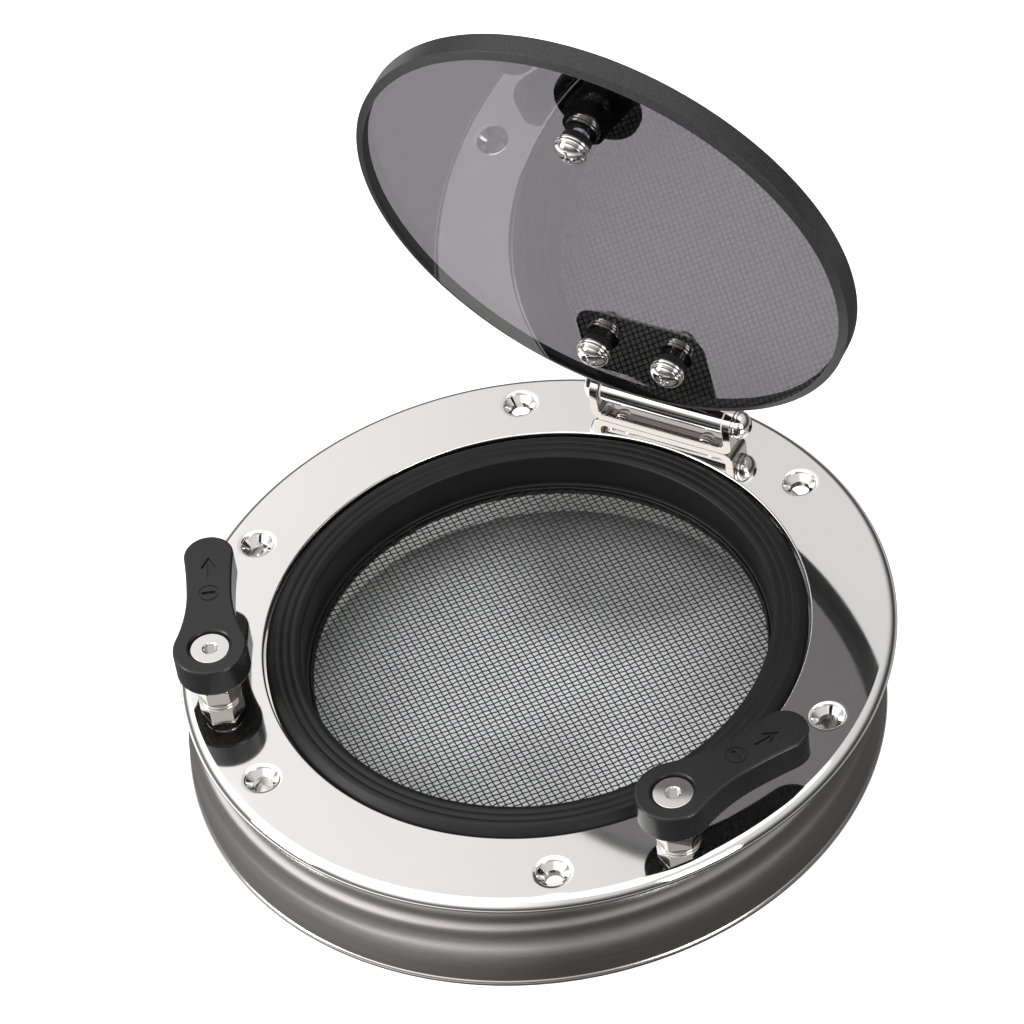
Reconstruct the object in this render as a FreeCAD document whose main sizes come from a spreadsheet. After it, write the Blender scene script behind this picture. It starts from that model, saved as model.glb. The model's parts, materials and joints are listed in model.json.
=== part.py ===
import FreeCAD, Part

import math
import os

import Sketcher

# Opening portlight with a hinged glass lid, two screw-down dogs and an insect screen.
# Millimetres. +Z points away from the wall, into the room. The origin is the centre of the
# flange's mounting face; the hinge is on the +Y side.

V = FreeCAD.Vector
X_AXIS = V(1, 0, 0)
Z_AXIS = V(0, 0, 1)

SIZES = {
    # frame: flange, seat for the seal, spigot that goes through the wall
    "flange_outer": 120.0, "flange_thick": 5.0, "shoulder_width": 3.4,
    "shoulder_round": 4.6, "foot_round": 2.0, "lip_inner": 91.4, "lip_round": 0.8,
    "seat_height": 2.0, "spigot_outer": 86.0, "spigot_inner": 82.6, "spigot_depth": 25.0,
    "root_round": 1.5,
    # six countersunk fixing holes
    "fixing_circle": 107.0, "fixing_hole": 3.3, "fixing_sink": 6.4, "fixing_drop": 2.9,
    "fixing_soft": 1.1,
    # trim ring
    "ring_seat": 96.0, "ring_neck": 102.4, "ring_depth": 37.0, "ring_wall": 1.4,
    "ring_shoulder": 15.9, "ring_cove": 43.5, "ring_swell": 56.4, "ring_lean_neck": 80.0,
    "ring_lean_waist": 5.0, "ring_lean_flare": 13.0, "ring_bead": 1.2,
    "ring_shift_x": -3.5, "ring_shift_y": -2.0,
    # rubber seal
    "seal_inner": 78.8, "seal_sleeve": 82.6, "seal_outer": 90.7,
    "seal_depth": 6.4, "seal_shoulder": 3.6, "seal_rib_width": 2.7, "seal_rib_round": 2.3,
    "seal_rib_start": 79.9, "seal_rib_base": 6.15,
    # insect screen
    "screen_clear": 76.3, "screen_rim": 82.6, "screen_top": -6.4, "screen_bottom": -9.8,
    "screen_ledge": 77.6, "screen_ledge_top": -8.5, "mesh_radius": 77.4, "mesh_low": -8.4,
    "mesh_high": -8.0, "spline_round": 0.5, "spline_path": 76.9,
    # glass
    "glass_radius": 88.6, "glass_shift": -2.8, "glass_thick": 10.0, "glass_low": 6.8,
    "bevel_width": 3.0, "bevel_drop": 1.2, "glass_hole": 3.6,
    # hinge
    "pin_y": 101.0, "pin_z": 15.5, "pin_radius": 2.5, "running_gap": 0.05,
    "lid_open": 80.7, "ear_inner": 23.8, "ear_thick": 3.0, "ear_reach": 5.5,
    "base_thick": 2.6, "bend_round": 2.2, "rivet_x": 16.0, "rivet_y": 98.6,
    "rivet_radius": 1.6, "rivet_head": 2.6, "rivet_dome": 0.7, "barrel_radius": 4.5,
    "barrel_half": 22.9, "barrel_bore": 3.4, "bush_flange": 0.65, "bush_length": 7.0,
    "leaf_thick": 2.0, "leaf_half": 21.5, "leaf_start": 52.5, "leaf_corner": 7.0,
    "pad_thick": 1.2, "pad_half": 24.0, "pad_start": 50.5, "pad_end": 82.4, "pad_corner": 8.0,
    "pin_washer_thick": 1.0, "pin_washer_radius": 5.2, "pin_head_radius": 4.9,
    "pin_head_high": 4.4, "pin_rim": 1.2, "pin_socket": 1.5, "pin_nut_across": 8.0,
    "pin_nut_high": 2.0, "pin_nut_dome": 2.0,
    # screws that hold the leaf to the glass
    "lid_screw_x": 13.8, "lid_screw_y": 60.5, "lid_shank": 2.5, "lid_head": 5.2,
    "lid_head_high": 3.4, "lid_rim": 1.1, "lid_washer": 5.9, "lid_washer_thick": 2.4,
    "lid_gasket": 5.2, "lid_gasket_thick": 2.8, "lid_nut_across": 9.0, "lid_nut_high": 2.6,
    "lid_nut_dome": 2.6,
    "recess_arm": 2.9, "recess_width": 0.9, "recess_depth": 1.3,
    # pull knob
    "knob_y": -52.5, "knob_radius": 15.0, "knob_neck": 6.6, "knob_foot": 7.4,
    "knob_curve": 40.0, "knob_stem_high": 7.6, "knob_disc_high": 7.4, "knob_edge": 2.4,
    "knob_crown": 0.8, "knob_screw_deep": 9.0,
    # dogs
    "dog_circle": 107.0, "dog_angle": 127.5, "dog_low": 12.4, "dog_high": 11.0,
    "dog_hub": 12.4, "dog_tip": 8.4, "dog_reach": 42.2, "dog_waist": 7.6, "dog_soft": 0.9,
    "dog_recess": 7.6, "dog_recess_deep": 1.0, "dog_head": 6.5, "dog_head_high": 3.3,
    "dog_socket_across": 4.0, "dog_socket_deep": 2.2, "dog_screw": 3.0, "dog_screw_long": 9.0,
    "journal": 3.8, "stud": 4.0, "nut_across": 13.0, "nut_high": 6.0,
    "lock_nut_high": 4.0, "nut_turn": 30.0, "washer_outer": 7.2, "washer_thick": 1.2,
    "bush_outer": 6.6, "left_swing": 30.1, "right_swing": -30.6, "mark_depth": 0.6,
}

doc = FreeCAD.newDocument("Portlight")
sheet = doc.addObject("Spreadsheet::Sheet", "Dim")


class Size:
    """A length or angle together with the sheet expression that gives it."""

    def __init__(self, value, text):
        self.value = float(value)
        self.text = text

    def _join(self, other, sign, value):
        return Size(value, "(%s %s %s)" % (self.text, sign, as_size(other).text))

    def __add__(self, other):
        return self._join(other, "+", self.value + as_size(other).value)

    def __sub__(self, other):
        return self._join(other, "-", self.value - as_size(other).value)

    def __mul__(self, other):
        return self._join(other, "*", self.value * as_size(other).value)

    def __truediv__(self, other):
        return self._join(other, "/", self.value / as_size(other).value)

    def __neg__(self):
        return Size(-self.value, "(0 - %s)" % self.text)


def sine(angle):
    """Sine of an angle in degrees."""
    return Size(math.sin(math.radians(angle.value)), "sin(%s * 1deg)" % angle.text)


def cosine(angle):
    """Cosine of an angle in degrees."""
    return Size(math.cos(math.radians(angle.value)), "cos(%s * 1deg)" % angle.text)


def as_size(number):
    """Take a Size as it is, and give a plain number an expression of its own."""
    return number if isinstance(number, Size) else Size(number, "(%r)" % float(number))


class Sizes:
    """The sheet's cells, each read as d.name."""


def fill_sheet():
    """Write every driving dimension to the sheet and return them as Size objects."""
    table = Sizes()
    for row, (name, value) in enumerate(SIZES.items(), start=1):
        sheet.set("A%d" % row, name)
        sheet.set("B%d" % row, str(value))
        sheet.setAlias("B%d" % row, name)
        setattr(table, name, Size(value, "Dim." + name))
    doc.recompute()
    return table


d = fill_sheet()

# places worked out from the driving dimensions
FLANGE_TOP = d.flange_thick
GLASS_TOP = d.glass_low + d.glass_thick
PAD_TOP = GLASS_TOP + d.pad_thick
EAR_OUTER = d.ear_inner + d.ear_thick
WASHER_TOP = FLANGE_TOP + d.washer_thick
NUT_TOP = WASHER_TOP + d.nut_high
LOCK_NUT_TOP = NUT_TOP + d.lock_nut_high
DOG_BOTTOM = FLANGE_TOP + d.dog_low
DOG_TOP = DOG_BOTTOM + d.dog_high
HEAD_TOP = DOG_TOP - d.dog_recess_deep
HINGE_PIN = V(0, d.pin_y.value, d.pin_z.value)
LID_SWING = FreeCAD.Placement(V(0, 0, 0), FreeCAD.Rotation(X_AXIS, -d.lid_open.value), HINGE_PIN)


# ---------------------------------------------------------------- building blocks

def new_body(label):
    """An empty PartDesign body with its own label."""
    body = doc.addObject("PartDesign::Body", label)
    body.Label = label
    return body


def plane_of(body, role):
    """One of the body's own origin planes or axes."""
    return next(item for item in body.Origin.OriginFeatures if item.Role == role)


def new_sketch(body, name, role, lift=None):
    """A sketch on an origin plane, raised along the plane's normal by lift."""
    sketch = body.newObject("Sketcher::SketchObject", name)
    sketch.AttachmentSupport = [(plane_of(body, role), "")]
    sketch.MapMode = "FlatFace"
    if lift is not None:
        sketch.AttachmentOffset = FreeCAD.Placement(V(0, 0, lift.value), FreeCAD.Rotation())
        sketch.setExpression("AttachmentOffset.Base.z", lift.text)
    return sketch


def bind_last(sketch, size):
    """Drive the newest constraint from the sheet."""
    sketch.setExpression("Constraints[%d]" % (sketch.ConstraintCount - 1), size.text)


def pin_point(sketch, geo, pos, x, y):
    """Fix a point of the sketch at x, y measured from its origin."""
    sketch.addConstraint(Sketcher.Constraint("DistanceX", -1, 1, geo, pos, x.value))
    bind_last(sketch, x)
    sketch.addConstraint(Sketcher.Constraint("DistanceY", -1, 1, geo, pos, y.value))
    bind_last(sketch, y)


def arc_between(a, b, radius, side):
    """The arc from a to b; side +1 bulges to the right of the way from a to b."""
    chord = b - a
    half = chord.Length / 2
    normal = V(chord.y, -chord.x, 0).normalize()
    rise = math.sqrt(max(radius * radius - half * half, 0.0))
    centre = (a + b) * 0.5 - normal * (side * rise)
    start = math.atan2(a.y - centre.y, a.x - centre.x)
    end = math.atan2(b.y - centre.y, b.x - centre.x)
    circle = Part.Circle(centre, Z_AXIS, radius)
    return Part.ArcOfCircle(circle, start, end) if side > 0 else Part.ArcOfCircle(circle, end, start)


def draw_outline(sketch, points):
    """A closed outline. A point is (x, y), or (x, y, radius, side) where an arc leads to it."""
    rows = [(as_size(p[0]), as_size(p[1])) + tuple(p[2:]) for p in points]
    count = len(rows)
    first = sketch.GeometryCount
    ends = []
    for index, row in enumerate(rows):
        before = rows[index - 1]
        a = V(before[0].value, before[1].value, 0)
        b = V(row[0].value, row[1].value, 0)
        if len(row) == 2:
            sketch.addGeometry(Part.LineSegment(a, b), False)
            ends.append((1, 2))
        else:
            sketch.addGeometry(arc_between(a, b, row[2].value, row[3]), False)
            ends.append((1, 2) if row[3] > 0 else (2, 1))
    for index in range(count):
        after = (index + 1) % count
        joint = ("Coincident", first + index, ends[index][1], first + after, ends[after][0])
        sketch.addConstraint(Sketcher.Constraint(*joint))
    for index, row in enumerate(rows):
        pin_point(sketch, first + index, ends[index][1], row[0], row[1])
        if len(row) > 2:
            sketch.addConstraint(Sketcher.Constraint("Radius", first + index, row[2].value))
            bind_last(sketch, row[2])


def draw_circle(sketch, x, y, radius):
    """A full circle with its centre and radius driven from the sheet."""
    x, y = as_size(x), as_size(y)
    geo = sketch.addGeometry(Part.Circle(V(x.value, y.value, 0), Z_AXIS, radius.value), False)
    pin_point(sketch, geo, 3, x, y)
    sketch.addConstraint(Sketcher.Constraint("Radius", geo, radius.value))
    bind_last(sketch, radius)


def revolve(body, name, points, kind="PartDesign::Revolution"):
    """Turn an outline (radius, height) about the body's own Z axis."""
    sketch = new_sketch(body, name + "_profile", "XZ_Plane")
    draw_outline(sketch, points)
    feature = body.newObject(kind, name)
    feature.Profile = sketch
    feature.ReferenceAxis = (sketch, ["V_Axis"])
    feature.Angle = 360
    doc.recompute()
    return feature


def turned(label, points):
    """A body of one turned solid."""
    body = new_body(label)
    revolve(body, label + "_turn", points)
    return body


def pad(body, name, points, low, height):
    """Raise an outline in XY from low by height."""
    sketch = new_sketch(body, name + "_profile", "XY_Plane", as_size(low))
    draw_outline(sketch, points)
    feature = body.newObject("PartDesign::Pad", name)
    feature.Profile = sketch
    feature.Length = height.value
    feature.setExpression("Length", height.text)
    doc.recompute()
    return feature


def pocket(body, name, draw, top, depth):
    """Cut down by depth from the height top; draw fills the sketch."""
    sketch = new_sketch(body, name + "_profile", "XY_Plane", as_size(top))
    draw(sketch)
    before = body.Shape.Volume
    feature = body.newObject("PartDesign::Pocket", name)
    feature.Profile = sketch
    feature.Length = depth.value
    feature.setExpression("Length", depth.text)
    doc.recompute()
    if body.Shape.Volume > before - 1e-3:
        raise RuntimeError(name + " cuts nothing")
    return feature


def drill(body, name, places, radius, top, depth):
    """Round holes straight down from the height top."""
    def circles(sketch):
        for x, y in places:
            draw_circle(sketch, x, y, radius)
    return pocket(body, name, circles, top, depth)


def hexagon(across):
    """The corners of a hexagon of the given width across its flats."""
    corner = across.value / math.sqrt(3)
    turns = [math.radians(60 * step) for step in range(6)]
    scale = [(math.cos(turn) * corner / across.value, math.sin(turn) * corner / across.value)
             for turn in turns]
    return [(across * x, across * y) for x, y in scale]


def edges_where(body, test):
    """Names of the body's edges whose points all pass the test."""
    names = []
    for number, edge in enumerate(body.Shape.Edges, start=1):
        first, last = edge.ParameterRange
        spots = [edge.valueAt(first + (last - first) * step / 4) for step in range(5)]
        if all(test(spot) for spot in spots):
            names.append("Edge%d" % number)
    return names


def soften(body, name, radius, test, kind="PartDesign::Fillet"):
    """Round or chamfer the edges that pass the test."""
    names = edges_where(body, test)
    if not names:
        raise RuntimeError(name + " finds no edge")
    base = body.Tip
    feature = body.newObject(kind, name)
    feature.Base = (base, names)
    size_name = "Radius" if kind == "PartDesign::Fillet" else "Size"
    setattr(feature, size_name, radius.value)
    feature.setExpression(size_name, radius.text)
    doc.recompute()
    return feature


def near(value, size, slack=0.01):
    """True where a coordinate is at a size."""
    return abs(value - size.value) < slack


def dome(foot, rise):
    """Radius of the sphere whose cap has this foot radius and this height."""
    return (foot * foot + rise * rise) / (rise * 2)


def group(label, bodies):
    """Identical separate solids that share one node."""
    compound = doc.addObject("Part::Compound", label)
    compound.Label = label
    compound.Links = bodies
    return compound


def polar(radius, angle):
    """A place on a circle; the angle is measured from +Y towards +X."""
    turn = math.radians(angle)
    return radius * math.sin(turn), radius * math.cos(turn)


# ---------------------------------------------------------------- frame and fixed rings

def make_frame():
    """Flange and spigot in one turned piece, with the holes for screws, studs and rivets."""
    r, top = d.flange_outer, FLANGE_TOP
    body = turned("frame", [
        (d.spigot_inner, -d.spigot_depth),
        (d.spigot_outer, -d.spigot_depth),
        (d.spigot_outer, -d.root_round),
        (d.spigot_outer + d.root_round, 0, d.root_round, -1),
        (r - d.foot_round, 0),
        (r, d.foot_round, d.foot_round, 1),
        (r - d.shoulder_width, top, d.shoulder_round, 1),
        (d.lip_inner + d.lip_round, top),
        (d.lip_inner, top - d.lip_round, d.lip_round, 1),
        (d.lip_inner, d.seat_height),
        (d.spigot_inner, d.seat_height),
    ])
    sink_fixing_holes(body)
    studs = [polar(d.dog_circle, side * d.dog_angle.value) for side in (-1, 1)]
    drill(body, "stud_holes", studs, d.stud + d.running_gap, top, d.flange_thick)
    rivets = [(-d.rivet_x, d.rivet_y), (d.rivet_x, d.rivet_y)]
    drill(body, "rivet_holes", rivets, d.rivet_radius + d.running_gap, top, d.flange_thick)
    return body


def sink_fixing_holes(body):
    """One countersunk hole with softened edges, repeated round the flange."""
    sketch = new_sketch(body, "fixing_profile", "XZ_Plane")
    axis, top = d.fixing_circle, FLANGE_TOP
    draw_outline(sketch, [
        (axis, -1),
        (axis + d.fixing_hole, -1),
        (axis + d.fixing_hole, top - d.fixing_drop),
        (axis + d.fixing_sink - d.fixing_soft, top - d.fixing_soft * 0.7),
        (axis + d.fixing_sink + d.fixing_soft * 0.5, top, d.fixing_soft * 1.9, -1),
        (axis + d.fixing_sink + d.fixing_soft * 0.5, top + 1),
        (axis, top + 1),
    ])
    spin = sketch.addGeometry(Part.LineSegment(V(axis.value, -5, 0), V(axis.value, 15, 0)), True)
    sketch.addConstraint(Sketcher.Constraint("Vertical", spin))
    sketch.addConstraint(Sketcher.Constraint("DistanceX", -1, 1, spin, 1, axis.value))
    bind_last(sketch, axis)
    groove = body.newObject("PartDesign::Groove", "fixing_hole")
    groove.Profile = sketch
    groove.ReferenceAxis = (sketch, ["Axis0"])
    groove.Angle = 360
    doc.recompute()
    holes = body.newObject("PartDesign::PolarPattern", "fixing_holes")
    holes.Originals = [groove]
    holes.Axis = (plane_of(body, "Z_Axis"), [""])
    holes.Angle = 360
    holes.Occurrences = 6
    body.Tip = holes
    doc.recompute()


def ring_side(inset):
    """Arcs of the ring's wall from the neck down, set back from its outer face by inset.

    The wall leans out under the neck, stands nearly upright at the waist, flares again and
    ends upright. Each point is radius, height, and the arc that leads to it from above.
    """
    leans = [d.ring_lean_neck, d.ring_lean_waist, d.ring_lean_flare, as_size(0)]
    bends = [(d.ring_shoulder, -1), (d.ring_cove, 1), (d.ring_swell, -1)]
    x, z = d.ring_neck, as_size(0)
    points = [(x - inset * cosine(leans[0]), z - inset * sine(leans[0]))]
    for above, below, (radius, side) in zip(leans, leans[1:], bends):
        x = x - radius * (cosine(below) - cosine(above)) * side
        z = z + radius * (sine(above) - sine(below)) * side
        points.append((x - inset * cosine(below), z - inset * sine(below),
                       radius + inset * side, side))
    return points


def make_trim_ring():
    """Spun finishing ring: a flat seat under the flange, an ogee wall and a beaded foot."""
    wall, low = d.ring_wall, -d.ring_depth
    outside, inside = ring_side(as_size(0)), ring_side(wall)
    foot = outside[-1][0]
    down = [(x, z, radius, side) for x, z, radius, side in outside[1:]]
    up = [(inside[step][0], inside[step][1], inside[step + 1][2], -inside[step + 1][3])
          for step in (2, 1, 0)]
    body = turned("trim_ring", [(d.ring_seat, 0), outside[0]] + down + [
        (foot, low + d.ring_bead * 2),
        (foot, low, d.ring_bead * 1.25, -1),
        (foot - wall, low),
        (inside[3][0], inside[3][1]),
    ] + up + [(inside[0][0], -wall), (d.ring_seat, -wall)])
    body.Placement = FreeCAD.Placement(V(d.ring_shift_x.value, d.ring_shift_y.value, 0),
                                       FreeCAD.Rotation())
    return body


def make_seal():
    """Rubber seal: a sleeve in the spigot and a ribbed face that the glass presses on."""
    inner, sleeve, outer = d.seal_inner, d.seal_sleeve, d.seal_outer
    start, width, base = d.seal_rib_start, d.seal_rib_width, d.seal_rib_base
    ribs = [(start + width * (3 - step), base) for step in range(4)]
    crowns = [ribs[0]] + [(x, z, d.seal_rib_round, 1) for x, z in ribs[1:]]
    return turned("seal", [
        (inner, -d.seal_depth),
        (sleeve, -d.seal_depth),
        (sleeve, d.seat_height),
        (outer, d.seat_height),
        (outer, d.seal_shoulder),
    ] + crowns + [(inner, base - 1.1, as_size(1.2), 1)])


def make_screen_ring():
    """Black ring that clips into the spigot and carries the mesh on a ledge."""
    return turned("screen_ring", [
        (d.screen_clear, d.screen_bottom),
        (d.screen_rim, d.screen_bottom),
        (d.screen_rim, d.screen_top),
        (d.screen_ledge, d.screen_top),
        (d.screen_ledge, d.screen_ledge_top),
        (d.screen_clear, d.screen_ledge_top),
    ])


def make_screen_mesh():
    """The woven mesh as a thin disc."""
    return turned("screen_mesh", [
        (0, d.mesh_low),
        (d.mesh_radius, d.mesh_low),
        (d.mesh_radius, d.mesh_high),
        (0, d.mesh_high),
    ])


def make_screen_spline():
    """Rubber cord that holds the mesh down in the ring."""
    spline = doc.addObject("Part::Torus", "screen_spline")
    spline.Label = "screen_spline"
    spline.setExpression("Radius1", d.spline_path.text)
    spline.setExpression("Radius2", d.spline_round.text)
    centre = d.mesh_high + d.spline_round + 0.05
    spline.Placement = FreeCAD.Placement(V(0, 0, centre.value), FreeCAD.Rotation())
    return spline


# ---------------------------------------------------------------- lid

def on_lid(body, x, y):
    """Move a piece modelled about the origin to x, y on the closed lid, then open the lid."""
    place = FreeCAD.Placement(V(as_size(x).value, as_size(y).value, 0), FreeCAD.Rotation())
    body.Placement = LID_SWING.multiply(place)
    return body


def lid_screw_places():
    return [(-d.lid_screw_x, d.lid_screw_y), (d.lid_screw_x, d.lid_screw_y)]


def make_glass():
    """Toughened glass disc with ground bevels and three holes, a little off centre."""
    r, low, top = d.glass_radius, d.glass_low, GLASS_TOP
    body = turned("glass", [
        (0, low),
        (r - d.bevel_width, low),
        (r, low + d.bevel_drop),
        (r, top - d.bevel_drop),
        (r - d.bevel_width, top),
        (0, top),
    ])
    places = [(x - d.glass_shift, y) for x, y in lid_screw_places() + [(as_size(0), d.knob_y)]]
    drill(body, "glass_holes", places, d.glass_hole, top, d.glass_thick)
    return on_lid(body, d.glass_shift, 0)


def tongue(half, start, end, corner):
    """Outline of a plate whose far corners are rounded."""
    return [
        (half, end),
        (-half, end),
        (-half, start + corner),
        (-half + corner, start, corner, 1),
        (half - corner, start),
        (half, start + corner, corner, 1),
    ]


def make_hinge_pad():
    """Rubber pad between the glass and the leaf."""
    body = new_body("hinge_pad")
    outline = tongue(d.pad_half, d.pad_start, d.pad_end, d.pad_corner)
    pad(body, "pad", outline, GLASS_TOP, d.pad_thick)
    drill(body, "pad_holes", lid_screw_places(), d.lid_shank + 0.1, PAD_TOP, d.pad_thick)
    return on_lid(body, 0, 0)


def make_lid_leaf():
    """Leaf plate with the barrel that turns on the pin."""
    body = new_body("lid_leaf")
    barrel = new_sketch(body, "barrel_profile", "YZ_Plane", -d.barrel_half)
    draw_circle(barrel, d.pin_y, d.pin_z, d.barrel_radius)
    feature = body.newObject("PartDesign::Pad", "barrel")
    feature.Profile = barrel
    feature.setExpression("Length", (d.barrel_half * 2).text)
    doc.recompute()
    outline = tongue(d.leaf_half, d.leaf_start, d.pin_y, d.leaf_corner)
    pad(body, "leaf", outline, PAD_TOP, d.leaf_thick)
    drill(body, "leaf_holes", lid_screw_places(), d.lid_shank + 0.1, PAD_TOP + d.leaf_thick,
          d.leaf_thick)
    bore = new_sketch(body, "bore_profile", "YZ_Plane", d.barrel_half)
    draw_circle(bore, d.pin_y, d.pin_z, d.barrel_bore)
    cut = body.newObject("PartDesign::Pocket", "barrel_bore")
    cut.Profile = bore
    cut.setExpression("Length", (d.barrel_half * 2).text)
    doc.recompute()
    return on_lid(body, 0, 0)


def along_x(body, x, flip=False):
    """Turn a piece's own Z axis to +X (or -X) on the pin's axis, starting at x."""
    turn = FreeCAD.Rotation(V(0, 1, 0), -90 if flip else 90)
    body.Placement = FreeCAD.Placement(V(as_size(x).value, HINGE_PIN.y, HINGE_PIN.z), turn)
    return body


def make_hinge_bushes():
    """Two flanged nylon bushes in the ends of the barrel."""
    bushes = []
    for number, flip in ((1, False), (2, True)):
        bush = turned("hinge_bush_%d" % number, [
            (d.pin_radius + d.running_gap, -d.bush_length),
            (d.barrel_bore, -d.bush_length),
            (d.barrel_bore, 0),
            (d.barrel_radius, 0),
            (d.barrel_radius, d.bush_flange),
            (d.pin_radius + d.running_gap, d.bush_flange),
        ])
        end = -d.barrel_half if flip else d.barrel_half
        along_x(bush, end, flip)
        bush.Placement = LID_SWING.multiply(bush.Placement)
        bushes.append(bush)
    return group("hinge_bushes", bushes)


def cross_recess(body, top):
    """Cross recess in a screw head; the head points to -Z and its crown is at the height top."""
    arm, width = d.recess_arm, d.recess_width
    for name, half_x, half_y in (("a", arm, width), ("b", width, arm)):
        corners = [(half_x, half_y), (-half_x, half_y), (-half_x, -half_y), (half_x, -half_y)]

        def cross(sketch):
            draw_outline(sketch, corners)
        pocket(body, body.Label + "_recess_" + name, cross, top + d.recess_depth, d.recess_depth)


def dome_screw(label, under, shank_end):
    """Screw under the glass: domed head below the height under, shank up to shank_end."""
    crown = under - d.lid_head_high
    body = turned(label, [
        (0, crown),
        (d.lid_head, under - d.lid_rim, dome(d.lid_head, d.lid_head_high - d.lid_rim), 1),
        (d.lid_head, under),
        (d.lid_shank, under),
        (d.lid_shank, shank_end),
        (0, shank_end),
    ])
    cross_recess(body, crown)
    return body


def flat_ring(label, inner, outer, low, thick):
    """A plain washer."""
    return turned(label, [(inner, low), (outer, low), (outer, low + thick), (inner, low + thick)])


def dome_nut(label, across, base, high, cap, bore, bore_top):
    """Hexagon nut with a domed cap, standing on the height base."""
    body = new_body(label)
    pad(body, label + "_hex", hexagon(across), base, high)
    foot = across * 0.46
    revolve(body, label + "_cap", [
        (0, base + high),
        (foot, base + high),
        (0, base + high + cap, dome(foot, cap), 1),
    ])
    drill(body, label + "_bore", [(0, 0)], bore, bore_top, bore_top - base)
    return body


def washer_stack():
    """Heights under the glass: underside of the gasket, and of the steel washer."""
    gasket_low = d.glass_low - d.lid_gasket_thick
    return gasket_low, gasket_low - d.lid_washer_thick


def make_lid_fasteners():
    """The two screws, washers, gaskets and dome nuts that hold the leaf to the glass."""
    gasket_low, washer_low = washer_stack()
    leaf_top = PAD_TOP + d.leaf_thick
    shank_end = leaf_top + d.lid_nut_high
    bore = d.lid_shank + d.running_gap
    kinds = {"lid_hinge_screws": [], "lid_hinge_washers": [], "lid_hinge_gaskets": [],
             "lid_hinge_nuts": []}
    for number, (x, y) in enumerate(lid_screw_places(), start=1):
        pieces = [
            dome_screw("lid_hinge_screw_%d" % number, washer_low, shank_end),
            flat_ring("lid_hinge_washer_%d" % number, bore, d.lid_washer, washer_low,
                      d.lid_washer_thick),
            flat_ring("lid_hinge_gasket_%d" % number, bore, d.lid_gasket, gasket_low,
                      d.lid_gasket_thick),
            dome_nut("lid_hinge_nut_%d" % number, d.lid_nut_across, leaf_top, d.lid_nut_high,
                     d.lid_nut_dome, bore, shank_end + 0.2),
        ]
        for kind, piece in zip(kinds.values(), pieces):
            kind.append(on_lid(piece, x, y))
    return [group(label, bodies) for label, bodies in kinds.items()]


def make_knob_parts():
    """Pull knob on the outer face, with its screw, washer and gasket under the glass."""
    gasket_low, washer_low = washer_stack()
    stem_top = GLASS_TOP + d.knob_stem_high
    top = stem_top + d.knob_disc_high
    edge, r = d.knob_edge, d.knob_radius
    bore = d.lid_shank + d.running_gap
    screw_top = GLASS_TOP + d.knob_screw_deep
    knob = turned("knob", [
        (bore, GLASS_TOP),
        (d.knob_foot, GLASS_TOP),
        (d.knob_neck, stem_top, d.knob_curve, -1),
        (r - edge, stem_top),
        (r, stem_top + edge, edge, 1),
        (r, top - edge - d.knob_crown),
        (r - edge, top - d.knob_crown, edge, 1),
        (0, top, dome(r - edge, d.knob_crown), 1),
        (0, screw_top + 0.2),
        (bore, screw_top + 0.2),
    ])
    screw = dome_screw("knob_screw", washer_low, screw_top)
    washer = flat_ring("knob_washer", bore, d.lid_washer, washer_low, d.lid_washer_thick)
    gasket = flat_ring("knob_gasket", bore, d.lid_gasket, gasket_low, d.lid_gasket_thick)
    return [on_lid(piece, 0, d.knob_y) for piece in (knob, screw, washer, gasket)]


# ---------------------------------------------------------------- hinge on the frame

def make_hinge_bracket():
    """U-shaped bracket: a base on the flange and two ears that hold the pin."""
    outer, inner, low = EAR_OUTER, d.ear_inner, FLANGE_TOP
    floor, bend = low + d.base_thick, d.bend_round
    crest = d.pin_z + d.ear_reach
    soft = bend + 1.6
    body = new_body("hinge_bracket")
    sketch = new_sketch(body, "bracket_profile", "XZ_Plane", -(d.pin_y + d.ear_reach))
    draw_outline(sketch, [
        (-outer + soft, low, soft, 1),
        (outer - soft, low),
        (outer, low + soft, soft, 1),
        (outer, crest),
        (inner, crest),
        (inner, floor + bend),
        (inner - bend, floor, bend, -1),
        (-inner + bend, floor),
        (-inner, floor + bend, bend, -1),
        (-inner, crest),
        (-outer, crest),
        (-outer, low + soft),
    ])
    channel = body.newObject("PartDesign::Pad", "bracket_channel")
    channel.Profile = sketch
    channel.setExpression("Length", (d.ear_reach * 2).text)
    doc.recompute()
    soften(body, "ear_round", d.ear_reach - 0.3,
           lambda p: near(p.z, crest) and not near(p.y, d.pin_y, 4.0))
    bores = new_sketch(body, "pin_holes_profile", "YZ_Plane", EAR_OUTER)
    draw_circle(bores, d.pin_y, d.pin_z, d.pin_radius + d.running_gap)
    cut = body.newObject("PartDesign::Pocket", "pin_holes")
    cut.Profile = bores
    cut.setExpression("Length", (EAR_OUTER * 2).text)
    doc.recompute()
    drill(body, "bracket_rivet_holes", [(-d.rivet_x, d.rivet_y), (d.rivet_x, d.rivet_y)],
          d.rivet_radius, floor, d.base_thick)
    return body


def make_bracket_rivets():
    """Two domed rivets that hold the bracket to the flange."""
    top = FLANGE_TOP + d.base_thick
    rivets = []
    for number, x in ((1, -d.rivet_x), (2, d.rivet_x)):
        rivet = turned("bracket_rivet_%d" % number, [
            (0, 0.2),
            (d.rivet_radius, 0.2),
            (d.rivet_radius, top),
            (d.rivet_head, top),
            (0, top + d.rivet_dome, dome(d.rivet_head, d.rivet_dome), 1),
        ])
        rivet.Placement = FreeCAD.Placement(V(x.value, d.rivet_y.value, 0), FreeCAD.Rotation())
        rivets.append(rivet)
    return group("bracket_rivets", rivets)


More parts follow.
